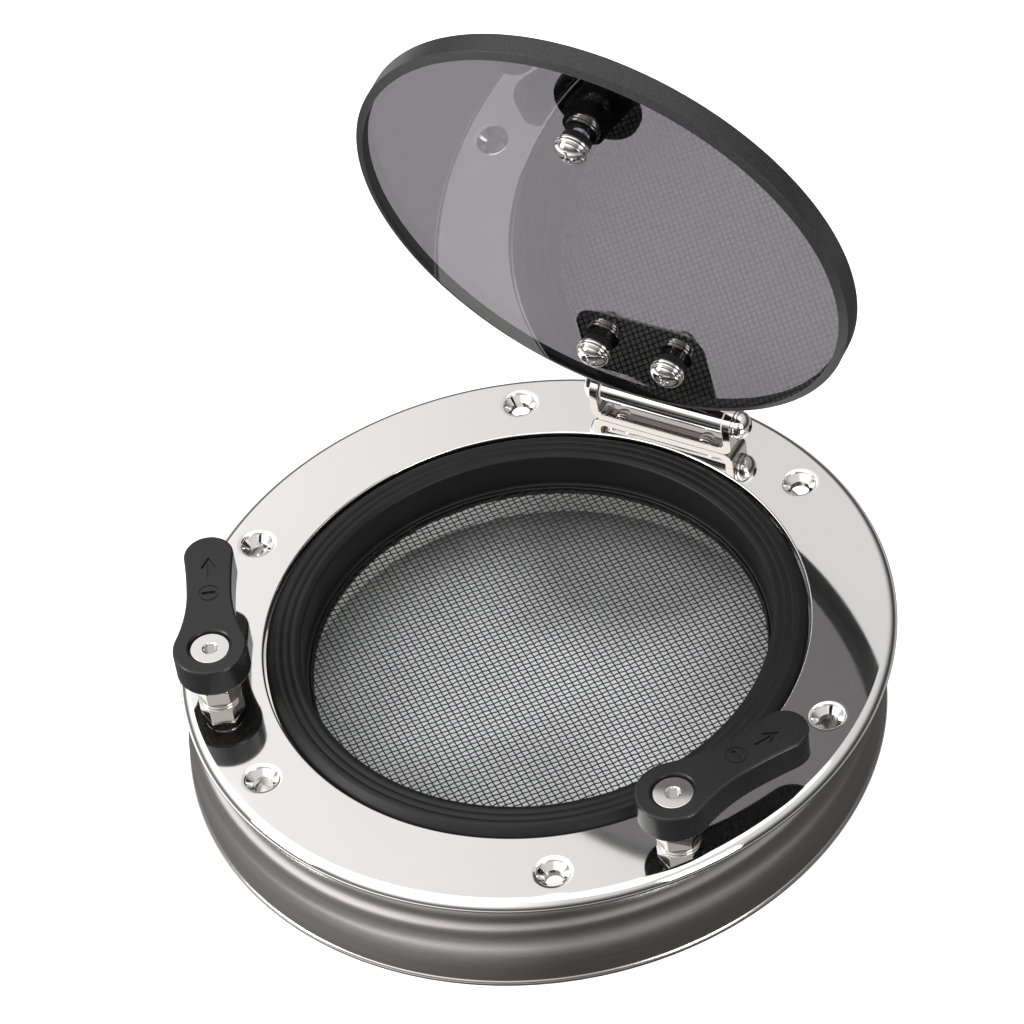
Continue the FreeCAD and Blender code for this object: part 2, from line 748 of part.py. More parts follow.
def make_hinge_pin():
    """The pin: a domed socket screw through both ears, with its washer and dome nut."""
    seat = EAR_OUTER + 0.1
    under = seat + d.pin_washer_thick
    head, high = d.pin_head_radius, d.pin_head_high
    tail = -EAR_OUTER - 0.1 - d.pin_nut_high
    pin = turned("hinge_pin", [
        (0, tail),
        (d.pin_radius, tail),
        (d.pin_radius, under),
        (head, under),
        (head, under + d.pin_rim),
        (0, under + high, dome(head, high - d.pin_rim), 1),
    ])

    def socket(sketch):
        draw_outline(sketch, hexagon(d.pin_socket * 2))
    pocket(pin, "pin_socket", socket, under + high, as_size(1.9))
    along_x(pin, 0)
    washer = flat_ring("hinge_pin_washer", d.pin_radius + d.running_gap, d.pin_washer_radius,
                       seat, d.pin_washer_thick)
    along_x(washer, 0)
    nut = dome_nut("hinge_pin_nut", d.pin_nut_across, seat, d.pin_nut_high, d.pin_nut_dome,
                   d.pin_radius + d.running_gap, seat + d.pin_nut_high + 0.2)
    along_x(nut, 0, flip=True)
    return [pin, washer, nut]


# ---------------------------------------------------------------- dogs

def waist_arc(end, waist, run):
    """Arc that leaves a round end tangentially and runs parallel to the lever at its waist.

    Returns its radius and the place where it touches the end, out and along from its centre.
    """
    radius = (waist * waist + run * run - end * end) / ((end - waist) * 2)
    share = end / (end + radius)
    return radius, (waist + radius) * share, run * share


def lever_outline():
    """Dog-bone outline: hub at the origin, tip along +Y, pulled in at the waist."""
    hub, tip, reach, waist = d.dog_hub, d.dog_tip, d.dog_reach, d.dog_waist
    middle = reach * 0.6
    hub_curve, hub_x, hub_y = waist_arc(hub, waist, middle)
    tip_curve, tip_x, tip_y = waist_arc(tip, waist, reach - middle)
    return [
        (-hub_x, hub_y, hub_curve, -1),
        (0, -hub, hub, 1),
        (hub_x, hub_y, hub, 1),
        (waist, middle, hub_curve, -1),
        (tip_x, reach - tip_y, tip_curve, -1),
        (0, reach + tip, tip, 1),
        (-tip_x, reach - tip_y, tip, 1),
        (-waist, middle, tip_curve, -1),
    ]


def arrow_mark(sketch):
    """Generic arrow that points to the lever's tip."""
    reach = d.dog_reach
    draw_outline(sketch, [
        (0, reach - 1.5),
        (-2.7, reach - 6.3),
        (-1.8, reach - 6.8),
        (-0.45, reach - 4.2),
        (-0.45, reach - 11.0),
        (0.45, reach - 11.0),
        (0.45, reach - 4.2),
        (1.8, reach - 6.8),
        (2.7, reach - 6.3),
    ])


def stroke_mark(sketch):
    """Generic ring with a bar across it."""
    middle = d.dog_reach - 18.0
    draw_circle(sketch, 0, middle, as_size(3.5))
    draw_circle(sketch, 0, middle, as_size(3.1))
    draw_outline(sketch, [(2.3, middle + 0.7), (-2.3, middle + 0.7), (-2.3, middle - 0.7),
                          (2.3, middle - 0.7)])


def make_lever(label):
    """Moulded lever with its bore, screw recess and marks."""
    top = DOG_TOP
    body = new_body(label)
    pad(body, label + "_blank", lever_outline(), DOG_BOTTOM, d.dog_high)
    soften(body, label + "_soft", d.dog_soft, lambda p: near(p.z, top) or near(p.z, DOG_BOTTOM))
    drill(body, label + "_recess", [(0, 0)], d.dog_recess, top, d.dog_recess_deep)
    sink = d.dog_head + 0.1
    revolve(body, label + "_sink", [
        (0, HEAD_TOP - d.dog_head_high - 0.1),
        (d.dog_screw + 0.1, HEAD_TOP - d.dog_head_high - 0.1),
        (sink, HEAD_TOP - 0.6),
        (sink, HEAD_TOP + 0.5),
        (0, HEAD_TOP + 0.5),
    ], "PartDesign::Groove")
    journal = HEAD_TOP - d.dog_head_high - 0.6
    drill(body, label + "_screw_hole", [(0, 0)], d.dog_screw + 0.1, HEAD_TOP - 1.0,
          d.dog_high - 2.0)
    drill(body, label + "_bore", [(0, 0)], d.journal + d.running_gap, journal,
          journal - DOG_BOTTOM)
    pocket(body, label + "_arrow", arrow_mark, top, d.mark_depth)
    pocket(body, label + "_ring", stroke_mark, top, d.mark_depth)
    return body


def make_dog_screw(label):
    """Flat-head socket screw that holds the lever to its stud."""
    cone = HEAD_TOP - d.dog_head_high
    body = turned(label, [
        (0, cone - d.dog_screw_long + d.dog_head_high),
        (d.dog_screw, cone - d.dog_screw_long + d.dog_head_high),
        (d.dog_screw, cone),
        (d.dog_head, HEAD_TOP - 0.3),
        (d.dog_head, HEAD_TOP),
        (0, HEAD_TOP),
    ])

    def socket(sketch):
        draw_outline(sketch, hexagon(d.dog_socket_across))
    pocket(body, label + "_socket", socket, HEAD_TOP, d.dog_socket_deep)
    return body


def make_stud(label):
    """Stud fixed in the flange, with the journal that the lever turns on."""
    journal_top = HEAD_TOP - d.dog_head_high - 0.9
    body = turned(label, [
        (0, 0.2),
        (d.stud - 0.6, 0.2),
        (d.stud, 0.8),
        (d.stud, LOCK_NUT_TOP),
        (d.journal, LOCK_NUT_TOP),
        (d.journal, journal_top),
        (0, journal_top),
    ])
    bore_depth = d.dog_screw_long - d.dog_head_high + 0.4
    drill(body, label + "_thread", [(0, 0)], d.dog_screw + d.running_gap, journal_top, bore_depth)
    return body


def make_hex_nut(label, low, high):
    """Nut on the stud, from the height low, with chamfered corners."""
    body = new_body(label)
    top = low + high
    pad(body, label + "_hex", hexagon(d.nut_across), low, high)
    drill(body, label + "_bore", [(0, 0)], d.stud + d.running_gap, top, high)
    rim, cut, slope = d.nut_across * 0.58, d.nut_across * 0.49, 0.75
    revolve(body, label + "_low_chamfer", [(cut, low - 0.1), (rim, low - 0.1), (rim, low + slope)],
            "PartDesign::Groove")
    revolve(body, label + "_top_chamfer", [(rim, top - slope), (rim, top + 0.1),
                                           (cut, top + 0.1)], "PartDesign::Groove")
    return body


def make_dog(side, sign, swing):
    """All the pieces of one dog, placed at its stud and turned to its parked angle."""
    lever = make_lever("dog_lever_" + side)
    screw = make_dog_screw("dog_screw_" + side)
    bush_low = LOCK_NUT_TOP + 0.3
    bush = flat_ring("dog_bush_" + side, d.journal + d.running_gap, d.bush_outer, bush_low,
                     DOG_BOTTOM - bush_low)
    stud = make_stud("dog_stud_" + side)
    washer = flat_ring("dog_washer_" + side, d.stud + d.running_gap, d.washer_outer, FLANGE_TOP,
                       d.washer_thick)
    nut = make_hex_nut("dog_nut_" + side, WASHER_TOP, d.nut_high)
    lock_nut = make_hex_nut("dog_lock_nut_" + side, NUT_TOP, d.lock_nut_high)
    x, y = polar(d.dog_circle.value, sign * d.dog_angle.value)
    turns = [(lever, swing), (screw, swing), (bush, swing), (stud, as_size(0)),
             (washer, as_size(0)), (nut, d.nut_turn), (lock_nut, d.nut_turn)]
    for piece, turn in turns:
        piece.Placement = FreeCAD.Placement(V(x, y, 0), FreeCAD.Rotation(Z_AXIS, turn.value))
    return [piece for piece, turn in turns]


# ---------------------------------------------------------------- assembly

def make_all():
    """Every sub-part of the portlight, in the order of assembly."""
    parts = [make_frame(), make_trim_ring(), make_seal(), make_screen_ring(),
             make_screen_mesh(), make_screen_spline(), make_hinge_bracket(),
             make_bracket_rivets()]
    parts += make_hinge_pin()
    parts += [make_glass(), make_hinge_pad(), make_lid_leaf(), make_hinge_bushes()]
    parts += make_lid_fasteners()
    parts += make_knob_parts()
    parts += make_dog("left", -1, d.left_swing)
    parts += make_dog("right", 1, d.right_swing)
    return parts


def check(parts):
    """Stop if any feature failed or any sub-part has no valid shape."""
    for item in doc.Objects:
        if "Invalid" in item.State or "Error" in item.State:
            raise RuntimeError("%s is %s" % (item.Name, item.State))
    for part in parts:
        if part.Shape.isNull() or not part.Shape.isValid() or not part.Shape.Solids:
            raise RuntimeError(part.Label + " has no valid shape")


def export(parts):
    """Write each sub-part to its own file."""
    os.makedirs("parts", exist_ok=True)
    for part in parts:
        part.Shape.exportStep("parts/%s.step" % part.Label)


parts = make_all()
doc.recompute()
check(parts)
export(parts)
print(len(parts), "sub-parts written")
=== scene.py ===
import json
import math

import bmesh
import bpy
from mathutils import Matrix, Vector


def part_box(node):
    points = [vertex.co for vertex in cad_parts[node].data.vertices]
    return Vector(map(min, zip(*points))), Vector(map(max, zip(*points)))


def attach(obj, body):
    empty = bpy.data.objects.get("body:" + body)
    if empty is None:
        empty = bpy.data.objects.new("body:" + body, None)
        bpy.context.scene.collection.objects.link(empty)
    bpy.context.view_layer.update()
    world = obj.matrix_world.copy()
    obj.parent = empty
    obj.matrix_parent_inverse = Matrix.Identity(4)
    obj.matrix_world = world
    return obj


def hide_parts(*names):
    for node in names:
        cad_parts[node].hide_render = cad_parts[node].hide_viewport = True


# Looks of the round opening portlight. Shapes are drawn in millimetres and turned into metres
# when a mesh is made; lights and camera are in metres. Lid pieces are drawn closed, then swung
# open about the pin.

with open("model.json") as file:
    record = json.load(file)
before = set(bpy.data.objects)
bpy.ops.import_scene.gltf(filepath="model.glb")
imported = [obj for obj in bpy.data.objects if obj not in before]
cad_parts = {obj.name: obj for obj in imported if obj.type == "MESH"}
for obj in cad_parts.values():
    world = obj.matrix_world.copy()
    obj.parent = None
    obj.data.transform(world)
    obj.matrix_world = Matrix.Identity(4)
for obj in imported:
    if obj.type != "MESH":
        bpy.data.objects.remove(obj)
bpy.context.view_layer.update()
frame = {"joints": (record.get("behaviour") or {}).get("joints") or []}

MM = 0.001

# steps round a turned shape
FINE = 256
MEDIUM = 96
SMALL = 48


# ---------------------------------------------------------------- places given by the frame

def joint(name):
    """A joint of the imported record."""
    return next(j for j in frame["joints"] if j["name"] == name)


def span(node):
    """Lowest and highest corners of a CAD node, in millimetres."""
    low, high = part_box(node)
    return low / MM, high / MM


PIN = Vector(joint("lid_hinge")["pos_m"]) / MM
LID_OPEN = joint("lid_hinge")["range_deg"][1]
FLANGE_TOP = span("frame")[1].z
FLANGE_R = span("frame")[1].y
SPIGOT_LOW = span("frame")[0].z
RING_LOW = span("trim_ring")[0].z
RING_X = (span("trim_ring")[0].x + span("trim_ring")[1].x) / 2
RING_Y = (span("trim_ring")[0].y + span("trim_ring")[1].y) / 2
SEAL_LOW = span("seal")[0].z
SEAL_R = span("seal")[1].y
SCREEN_TOP = span("screen_ring")[1].z
SCREEN_LOW = span("screen_ring")[0].z
SCREEN_R = span("screen_ring")[1].y
MESH_Z = (span("screen_mesh")[0].z + span("screen_mesh")[1].z) / 2
MESH_R = span("screen_mesh")[1].y

# the flange: bore, spigot, the seal's seat, and the holes for screws and studs
SPIGOT_BORE = 82.6
SPIGOT_R = 86.0
SEAT_R = 91.4
SEAT_FLOOR = 2.0
HOLE_CIRCLE = 107.0
HOLE_COUNT = 6
HOLE_R = 3.3
STUD_BORE = 4.05

# sizes of the lid's and the dogs' details
GLASS_R = 88.6
GLASS_SHIFT = -2.8
GLASS_LOW = 6.8
GLASS_TOP = 16.8
BEVEL_WIDTH = 3.0
BEVEL_DROP = 1.2
PAD_THICK = 1.2
LEAF_THICK = 2.0
LEAF_LOW = GLASS_TOP + PAD_THICK
LEAF_TOP = LEAF_LOW + LEAF_THICK
BARREL_R = 4.5
BARREL_HALF = 22.9
LID_SCREW_X = 13.8
LID_SCREW_Y = 60.5
KNOB_Y = -52.5
SHANK = 2.5
SHANK_BORE = 2.55
LEAF_HOLE = 2.6
GLASS_HOLE = 3.6
BUSH_R = 3.4
EAR_INNER = 23.8
EAR_OUTER = 26.8
BRACKET_FLOOR = FLANGE_TOP + 2.6
STUD_R = 4.0
JOURNAL_R = 3.8
LEVER_BORE = 3.85
WASHER_TOP = FLANGE_TOP + 1.2
NUT_TOP = WASHER_TOP + 6.0
LOCK_NUT_TOP = NUT_TOP + 4.0
LEVER_LOW = FLANGE_TOP + 12.4
LEVER_TOP = LEVER_LOW + 11.0
HEAD_TOP = LEVER_TOP - 1.0
NUT_TURN = 30.0
DOG_SWINGS = {"left": 30.1, "right": -30.6}


# ---------------------------------------------------------------- outlines

def rounded(points, steps=6):
    """Closed outline from corners (x, y) or (x, y, radius); a radius turns a corner into an arc."""
    out = []
    count = len(points)
    for index, point in enumerate(points):
        corner = Vector(point[:2])
        radius = point[2] if len(point) > 2 else 0
        if not radius:
            out.append(corner)
            continue
        before = Vector(points[index - 1][:2]) - corner
        after = Vector(points[(index + 1) % count][:2]) - corner
        half = before.angle(after) / 2
        reach = radius / math.tan(half)
        first = corner + before.normalized() * reach
        last = corner + after.normalized() * reach
        centre = corner + (before.normalized() + after.normalized()).normalized() * (
            radius / math.sin(half))
        out += arc(centre, first, last, steps)
    return out


def arc(centre, first, last, steps):
    """Points on the shorter arc about centre from first to last, both included."""
    start = math.atan2(first.y - centre.y, first.x - centre.x)
    turn = math.atan2(last.y - centre.y, last.x - centre.x) - start
    turn = (turn + math.pi) % (2 * math.pi) - math.pi
    radius = (first - centre).length
    angles = [start + turn * step / steps for step in range(steps + 1)]
    return [centre + Vector((math.cos(a), math.sin(a))) * radius for a in angles]


def sagged(first, last, radius, side, steps=10):
    """Points of the arc from first to last; side +1 bulges to the right of the way between."""
    first, last = Vector(first), Vector(last)
    chord = last - first
    normal = Vector((chord.y, -chord.x)).normalized()
    rise = math.sqrt(max(radius * radius - chord.length_squared / 4, 0))
    return arc((first + last) / 2 - normal * side * rise, first, last, steps)


def circle(radius, count, centre=(0, 0)):
    """A ring of points, anticlockwise."""
    turns = [2 * math.pi * step / count for step in range(count)]
    return [Vector((centre[0] + radius * math.cos(t), centre[1] + radius * math.sin(t)))
            for t in turns]


def hexagon(across):
    """Corners of a hexagon of the given width across its flats."""
    return circle(across / math.sqrt(3), 6)


# ---------------------------------------------------------------- meshes

def make_object(name, bm):
    """Turn a bmesh in millimetres into an object in metres."""
    bmesh.ops.recalc_face_normals(bm, faces=bm.faces)
    bmesh.ops.scale(bm, vec=(MM, MM, MM), verts=bm.verts)
    mesh = bpy.data.meshes.new(name)
    bm.to_mesh(mesh)
    bm.free()
    obj = bpy.data.objects.new(name, mesh)
    bpy.context.scene.collection.objects.link(obj)
    return obj


def lathe(name, profile, count=FINE):
    """Turn a closed outline (radius, height) about Z."""
    bm = bmesh.new()
    columns = []
    for radius, height in profile:
        if radius < 1e-6:
            columns.append([bm.verts.new((0, 0, height))])
            continue
        columns.append([bm.verts.new((p.x, p.y, height)) for p in circle(radius, count)])
    for here, there in zip(columns, columns[1:] + columns[:1]):
        if len(here) == 1 and len(there) == 1:
            continue
        for step in range(count):
            after = (step + 1) % count
            ring = [here[step % len(here)], here[after % len(here)],
                    there[after % len(there)], there[step % len(there)]]
            bm.faces.new(list(dict.fromkeys(ring)))
    return make_object(name, bm)


def prism(name, outline, low, high, edge=0.0, steps=4):
    """Raise a closed outline from low to high; edge rounds its rims by that radius."""
    rows = [(0.0, low), (0.0, high)]
    if edge:
        turns = [math.pi / 2 * step / steps for step in range(steps + 1)]
        rows = [(edge * (1 - math.sin(t)), low + edge * (1 - math.cos(t))) for t in turns]
        rows += [(inset, low + high - height) for inset, height in reversed(rows)]
    inward = inward_normals(outline)
    bm = bmesh.new()
    rings = []
    for inset, height in rows:
        rings.append([bm.verts.new((p.x + n.x * inset, p.y + n.y * inset, height))
                      for p, n in zip(outline, inward)])
    count = len(outline)
    for here, there in zip(rings, rings[1:]):
        for step in range(count):
            after = (step + 1) % count
            bm.faces.new((here[step], here[after], there[after], there[step]))
    bm.faces.new(rings[0][::-1])
    bm.faces.new(rings[-1])
    return make_object(name, bm)


def inward_normals(outline):
    """For each point of a closed outline, the direction into it, scaled for an even offset."""
    area = sum(a.x * b.y - a.y * b.x for a, b in zip(outline, outline[1:] + outline[:1]))
    sign = 1 if area > 0 else -1
    normals = []
    for index, point in enumerate(outline):
        before = (point - outline[index - 1]).normalized()
        after = (outline[(index + 1) % len(outline)] - point).normalized()
        side = before + after
        normal = Vector((-side.y, side.x)).normalized() * sign
        normals.append(normal / max(normal.dot(Vector((-before.y, before.x)) * sign), 0.3))
    return normals


def apply_modifier(obj, modifier):
    """Make a modifier's result the object's own mesh."""
    bpy.context.view_layer.update()
    result = bpy.data.meshes.new_from_object(obj.evaluated_get(
        bpy.context.evaluated_depsgraph_get()))
    obj.modifiers.remove(modifier)
    obj.data = result


def combine(obj, tools, operation="DIFFERENCE"):
    """Cut tools from an object, or join them to it, and remove the tools."""
    for tool in tools:
        modifier = obj.modifiers.new(operation, "BOOLEAN")
        modifier.operation = operation
        modifier.solver = "EXACT"
        modifier.object = tool
        apply_modifier(obj, modifier)
        bpy.data.objects.remove(tool)
    return obj


def transform(obj, matrix):
    """Move an object's mesh by a matrix in millimetres."""
    scale = Matrix.Scale(MM, 4)
    obj.data.transform(scale @ matrix @ scale.inverted())
    return obj


def shift(obj, x=0.0, y=0.0, z=0.0):
    """Move an object's mesh, in millimetres."""
    return transform(obj, Matrix.Translation((x, y, z)))


def soften(obj, width, angle=35, segments=2):
    """Round an object's sharp edges, in millimetres."""
    modifier = obj.modifiers.new("soft", "BEVEL")
    modifier.width = width * MM
    modifier.segments = segments
    modifier.limit_method = "ANGLE"
    modifier.angle_limit = math.radians(angle)
    modifier.harden_normals = False
    apply_modifier(obj, modifier)
    return obj


def smooth(obj, angle=32):
    """Smooth shading with sharp edges past an angle; large flat faces keep their own normals."""
    obj.data.shade_smooth()
    obj.data.set_sharp_from_angle(angle=math.radians(angle))
    modifier = obj.modifiers.new("even", "WEIGHTED_NORMAL")
    modifier.keep_sharp = True
    modifier.weight = 90
    return obj


def join(name, objects):
    """One object from several that share a material."""
    target = objects[0]
    target.name = name
    bm = bmesh.new()
    for obj in objects:
        bm.from_mesh(obj.data)
    bm.to_mesh(target.data)
    bm.free()
    for obj in objects[1:]:
        bpy.data.objects.remove(obj)
    return target


def piece(obj, body, nodes, material, angle=32):
    """Give an object its material and its body, and hide the CAD nodes that it stands for."""
    obj.data.materials.clear()
    obj.data.materials.append(material)
    smooth(obj, angle)
    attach(obj, body)
    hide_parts(*nodes)
    return obj


# ---------------------------------------------------------------- where things sit

LID_SWING = (Matrix.Translation(PIN) @ Matrix.Rotation(math.radians(-LID_OPEN), 4, "X")
             @ Matrix.Translation(-PIN))


def open_lid(obj):
    """Swing a piece that was drawn on the closed lid to where the lid stands."""
    return transform(obj, LID_SWING)


def on_pin(obj, flip=False):
    """Turn a piece drawn along Z to lie along the pin; flip points it to -X."""
    turn = Matrix.Rotation(math.radians(-90 if flip else 90), 4, "Y")
    return transform(obj, Matrix.Translation(PIN) @ turn)


def dog_place(side, turn=0.0):
    """Where a dog's own pieces go: at its stud, turned by an angle in degrees."""
    spot = Vector(joint(side + "_dog_turn")["pos_m"]) / MM
    spot.z = 0
    return Matrix.Translation(spot) @ Matrix.Rotation(math.radians(turn), 4, "Z")


def lever_place(side):
    """Where a lever goes, with what turns with it: at its stud, at the angle where it is left."""
    return dog_place(side, DOG_SWINGS[side])


def at_lid_screws(make):
    """What make() gives, once at each of the leaf's two screws."""
    return [shift(make(), x, LID_SCREW_Y) for x in (-LID_SCREW_X, LID_SCREW_X)]


# ---------------------------------------------------------------- materials

def fill_ramp(ramp, stops):
    """Give a colour ramp its stops, each a place with a colour or a grey."""
    while len(ramp.elements) < len(stops):
        ramp.elements.new(0.5)
    for element, (place, colour) in zip(ramp.elements, stops):
        element.position = place
        grey = isinstance(colour, (int, float))
        element.color = (colour, colour, colour, 1) if grey else (*colour, 1)


class Nodes:
    """A material's node tree with short ways to add and link nodes."""

    def __init__(self, name):
        self.material = bpy.data.materials.new(name)
        self.material.use_nodes = True
        self.tree = self.material.node_tree
        self.shader = self.tree.nodes["Principled BSDF"]
        self.coords = self.tree.nodes.new("ShaderNodeTexCoord").outputs["Object"]

    def add(self, kind, **inputs):
        """A new node, with values or links on the sockets named, underscores for spaces."""
        node = self.tree.nodes.new("ShaderNode" + kind)
        for name, value in inputs.items():
            self.put(node.inputs[name.replace("_", " ")], value)
        return node

    def put(self, socket, value):
        """Link an output to a socket, or set the socket to a constant."""
        if isinstance(value, bpy.types.NodeSocket):
            self.tree.links.new(value, socket)
        else:
            socket.default_value = value

    def set(self, **inputs):
        """Values or links on the main shader's sockets."""
        for name, value in inputs.items():
            self.put(self.shader.inputs[name.replace("_", " ")], value)
        return self

    def noise(self, scale, detail=3.0, roughness=0.5, vector=None):
        """Noise in object coordinates, unless a vector is given."""
        node = self.add("TexNoise", Scale=scale, Detail=detail, Roughness=roughness)
        self.put(node.inputs["Vector"], vector or self.coords)
        return node.outputs["Fac"]

    def ramp(self, value, stops):
        """Colours (or greys) along a value; stops are (place, colour)."""
        node = self.tree.nodes.new("ShaderNodeValToRGB")
        fill_ramp(node.color_ramp, stops)
        self.tree.links.new(value, node.inputs["Fac"])
        return node.outputs["Color"]

    def bump(self, height, strength, distance=MM):
        """A normal tilted by a height."""
        node = self.add("Bump", Strength=strength, Distance=distance, Height=height)
        return node.outputs["Normal"]

    def around(self, stretch_round, stretch_up):
        """Coordinates that run round the Z axis, for marks left by turning or polishing."""
        split = self.add("SeparateXYZ", Vector=self.coords)
        angle = self.math("ARCTAN2", split.outputs["Y"], split.outputs["X"])
        radius = self.math("SQRT", self.math(
            "ADD", self.math("MULTIPLY", split.outputs["X"], split.outputs["X"]),
            self.math("MULTIPLY", split.outputs["Y"], split.outputs["Y"])))
        join_up = self.add("CombineXYZ", X=self.math("MULTIPLY", angle, stretch_round),
                           Y=self.math("MULTIPLY", radius, stretch_up),
                           Z=self.math("MULTIPLY", split.outputs["Z"], stretch_up))
        return join_up.outputs["Vector"]

    def math(self, operation, first, second=0.0):
        """One step of arithmetic on one or two values."""
        node = self.tree.nodes.new("ShaderNodeMath")
        node.operation = operation
        self.put(node.inputs[0], first)
        self.put(node.inputs[1], second)
        return node.outputs[0]


def polished_steel(name="polished_steel", colour=(0.72, 0.714, 0.705), rough=0.04):
    """Mirror-polished stainless: faint smudges and a very slight waviness."""
    n = Nodes(name)
    smudge = n.noise(38.0, 4.0, 0.6)
    tint = n.ramp(n.noise(9.0, 2.0), [(0.35, [c * 0.97 for c in colour]), (0.7, colour)])
    n.set(Metallic=1.0, Base_Color=tint,
          Roughness=n.ramp(smudge, [(0.3, rough), (0.75, rough + 0.035)]),
          Normal=n.bump(n.noise(14.0, 1.0), 0.02))
    return n.material


def brushed_ring():
    """Satin stainless, brushed round the ring."""
    n = Nodes("satin_steel")
    lines = n.noise(1.0, 5.0, 0.7, n.around(14.0, 5200.0))
    bands = n.noise(1.0, 2.0, 0.5, n.around(1.2, 260.0))
    colour = n.ramp(bands, [(0.3, (0.42, 0.40, 0.38)), (0.7, (0.50, 0.477, 0.455))])
    n.set(Metallic=1.0, Base_Color=colour, Anisotropic=0.3,
          Roughness=n.ramp(lines, [(0.25, 0.15), (0.8, 0.26)]),
          Normal=n.bump(lines, 0.12, 0.1 * MM))
    tangent = n.tree.nodes.new("ShaderNodeTangent")
    tangent.direction_type = "RADIAL"
    tangent.axis = "Z"
    n.set(Tangent=tangent.outputs["Tangent"])
    return n.material


def rubber(name="black_rubber", colour=0.006, rough=0.46):
    """Black moulded rubber with a fine matt skin."""
    n = Nodes(name)
    grain = n.noise(2600.0, 2.0, 0.6)
    tint = n.ramp(n.noise(60.0, 3.0), [(0.3, colour * 0.8), (0.75, colour * 1.35)])
    n.set(Base_Color=tint, Roughness=n.ramp(grain, [(0.3, rough - 0.07), (0.7, rough + 0.08)]),
          Specular_IOR_Level=0.2, Normal=n.bump(grain, 0.25, 0.05 * MM))
    return n.material


def lever_plastic():
    """Satin black nylon with a fine moulded grain."""
    n = Nodes("lever_plastic")
    grain = n.noise(3800.0, 2.0, 0.55)
    tint = n.ramp(n.noise(45.0, 3.0), [(0.3, (0.006, 0.006, 0.0065)),
                                       (0.75, (0.010, 0.010, 0.0107))])
    n.set(Base_Color=tint, Roughness=n.ramp(grain, [(0.3, 0.20), (0.7, 0.32)]),
          Specular_IOR_Level=0.3, Normal=n.bump(grain, 0.3, 0.04 * MM))
    return n.material


def screen_wire():
    """Black coated wire."""
    n = Nodes("screen_mesh")
    grain = n.noise(5000.0, 2.0)
    n.set(Base_Color=n.ramp(n.noise(400.0), [(0.3, 0.004), (0.7, 0.009)]),
          Specular_IOR_Level=0.2, Roughness=n.ramp(grain, [(0.3, 0.45), (0.7, 0.6)]))
    return n.material


def nylon():
    """Natural nylon of the hinge bushes."""
    n = Nodes("nylon")
    grain = n.noise(1500.0, 2.0)
    n.set(Base_Color=n.ramp(n.noise(300.0), [(0.3, (0.62, 0.60, 0.55)), (0.7, (0.70, 0.68, 0.63))]),
          Roughness=n.ramp(grain, [(0.3, 0.4), (0.7, 0.5)]),
          Normal=n.bump(grain, 0.1, 0.05 * MM))
    return n.material


def smoked_glass():
    """Grey toughened glass with polished faces."""
    n = Nodes("smoked_glass")
    haze = n.noise(20.0, 3.0)
    n.set(Base_Color=(0.118, 0.113, 0.119, 1), Transmission_Weight=1.0, IOR=1.45,
          Roughness=n.ramp(haze, [(0.3, 0.0), (0.8, 0.015)]))
    return n.material


def ground_glass():
    """The ground rim of the pane: dark, frosted and speckled."""
    n = Nodes("ground_glass")
    speck = n.noise(1900.0, 3.0, 0.7)
    tint = n.ramp(speck, [(0.35, (0.006, 0.006, 0.006)), (0.72, (0.030, 0.030, 0.031))])
    n.set(Base_Color=tint, Transmission_Weight=0.12, IOR=1.5, Specular_IOR_Level=0.3,
          Roughness=n.ramp(speck, [(0.3, 0.28), (0.7, 0.5)]),
          Normal=n.bump(speck, 0.35, 0.05 * MM))
    return n.material


STEEL = polished_steel()
STEEL_HEAD = polished_steel("polished_heads", (0.66, 0.65, 0.635), 0.07)
# painted shade: a darker, browner copy of the polished steel, used on the hinge bracket, its
# rivets, and the stud nuts and washer
STEEL_PAINTED_SHADE = polished_steel("steel_painted_shade", (0.50, 0.465, 0.435), 0.09)
SATIN = brushed_ring()
RUBBER = rubber()
SCREEN_PLASTIC = rubber("black_plastic", 0.011, 0.42)
LEVER = lever_plastic()
WIRE = screen_wire()
NYLON = nylon()
GLASS = smoked_glass()
GLASS_RIM = ground_glass()


# ---------------------------------------------------------------- frame and rings

def make_flange():
    """Flange, seat and spigot, with six softly countersunk holes."""
    under, over = 2.0, 3.4
    shoulder = sagged((FLANGE_R - under, 0), (FLANGE_R, under), under, 1, 10)
    shoulder += sagged((FLANGE_R, under), (FLANGE_R - over, FLANGE_TOP), 4.6, 1, 12)[1:]
    profile = rounded_run([(SPIGOT_BORE, SEAT_FLOOR), (SPIGOT_BORE, SPIGOT_LOW, 0.3),
                           (SPIGOT_R, SPIGOT_LOW, 0.3), (SPIGOT_R, 0, 1.5),
                           (FLANGE_R - under, 0)])[:-1] + shoulder
    profile += rounded_run([(FLANGE_R - over, FLANGE_TOP), (SEAT_R, FLANGE_TOP, 0.8),
                            (SEAT_R, SEAT_FLOOR)])[1:]
    flange = lathe("flange", profile, FINE * 2)
    cutters = []
    for step in range(HOLE_COUNT):
        angle = math.radians(360 / HOLE_COUNT * step + 30)
        spot = (HOLE_CIRCLE * math.sin(angle), HOLE_CIRCLE * math.cos(angle), 0)
        cutters.append(transform(hole_cutter(), Matrix.Translation(spot)))
    for side in DOG_SWINGS:
        cutters.append(transform(rod("stud_hole", STUD_BORE, -1, FLANGE_TOP + 1), dog_place(side)))
    combine(flange, [join("holes", cutters)])
    return piece(flange, "root", ["frame"], STEEL)


def rounded_run(points, steps=6):
    """Like rounded, but the first and last corners stay as they are."""
    return rounded([points[0][:2]] + list(points[1:-1]) + [points[-1][:2]], steps)


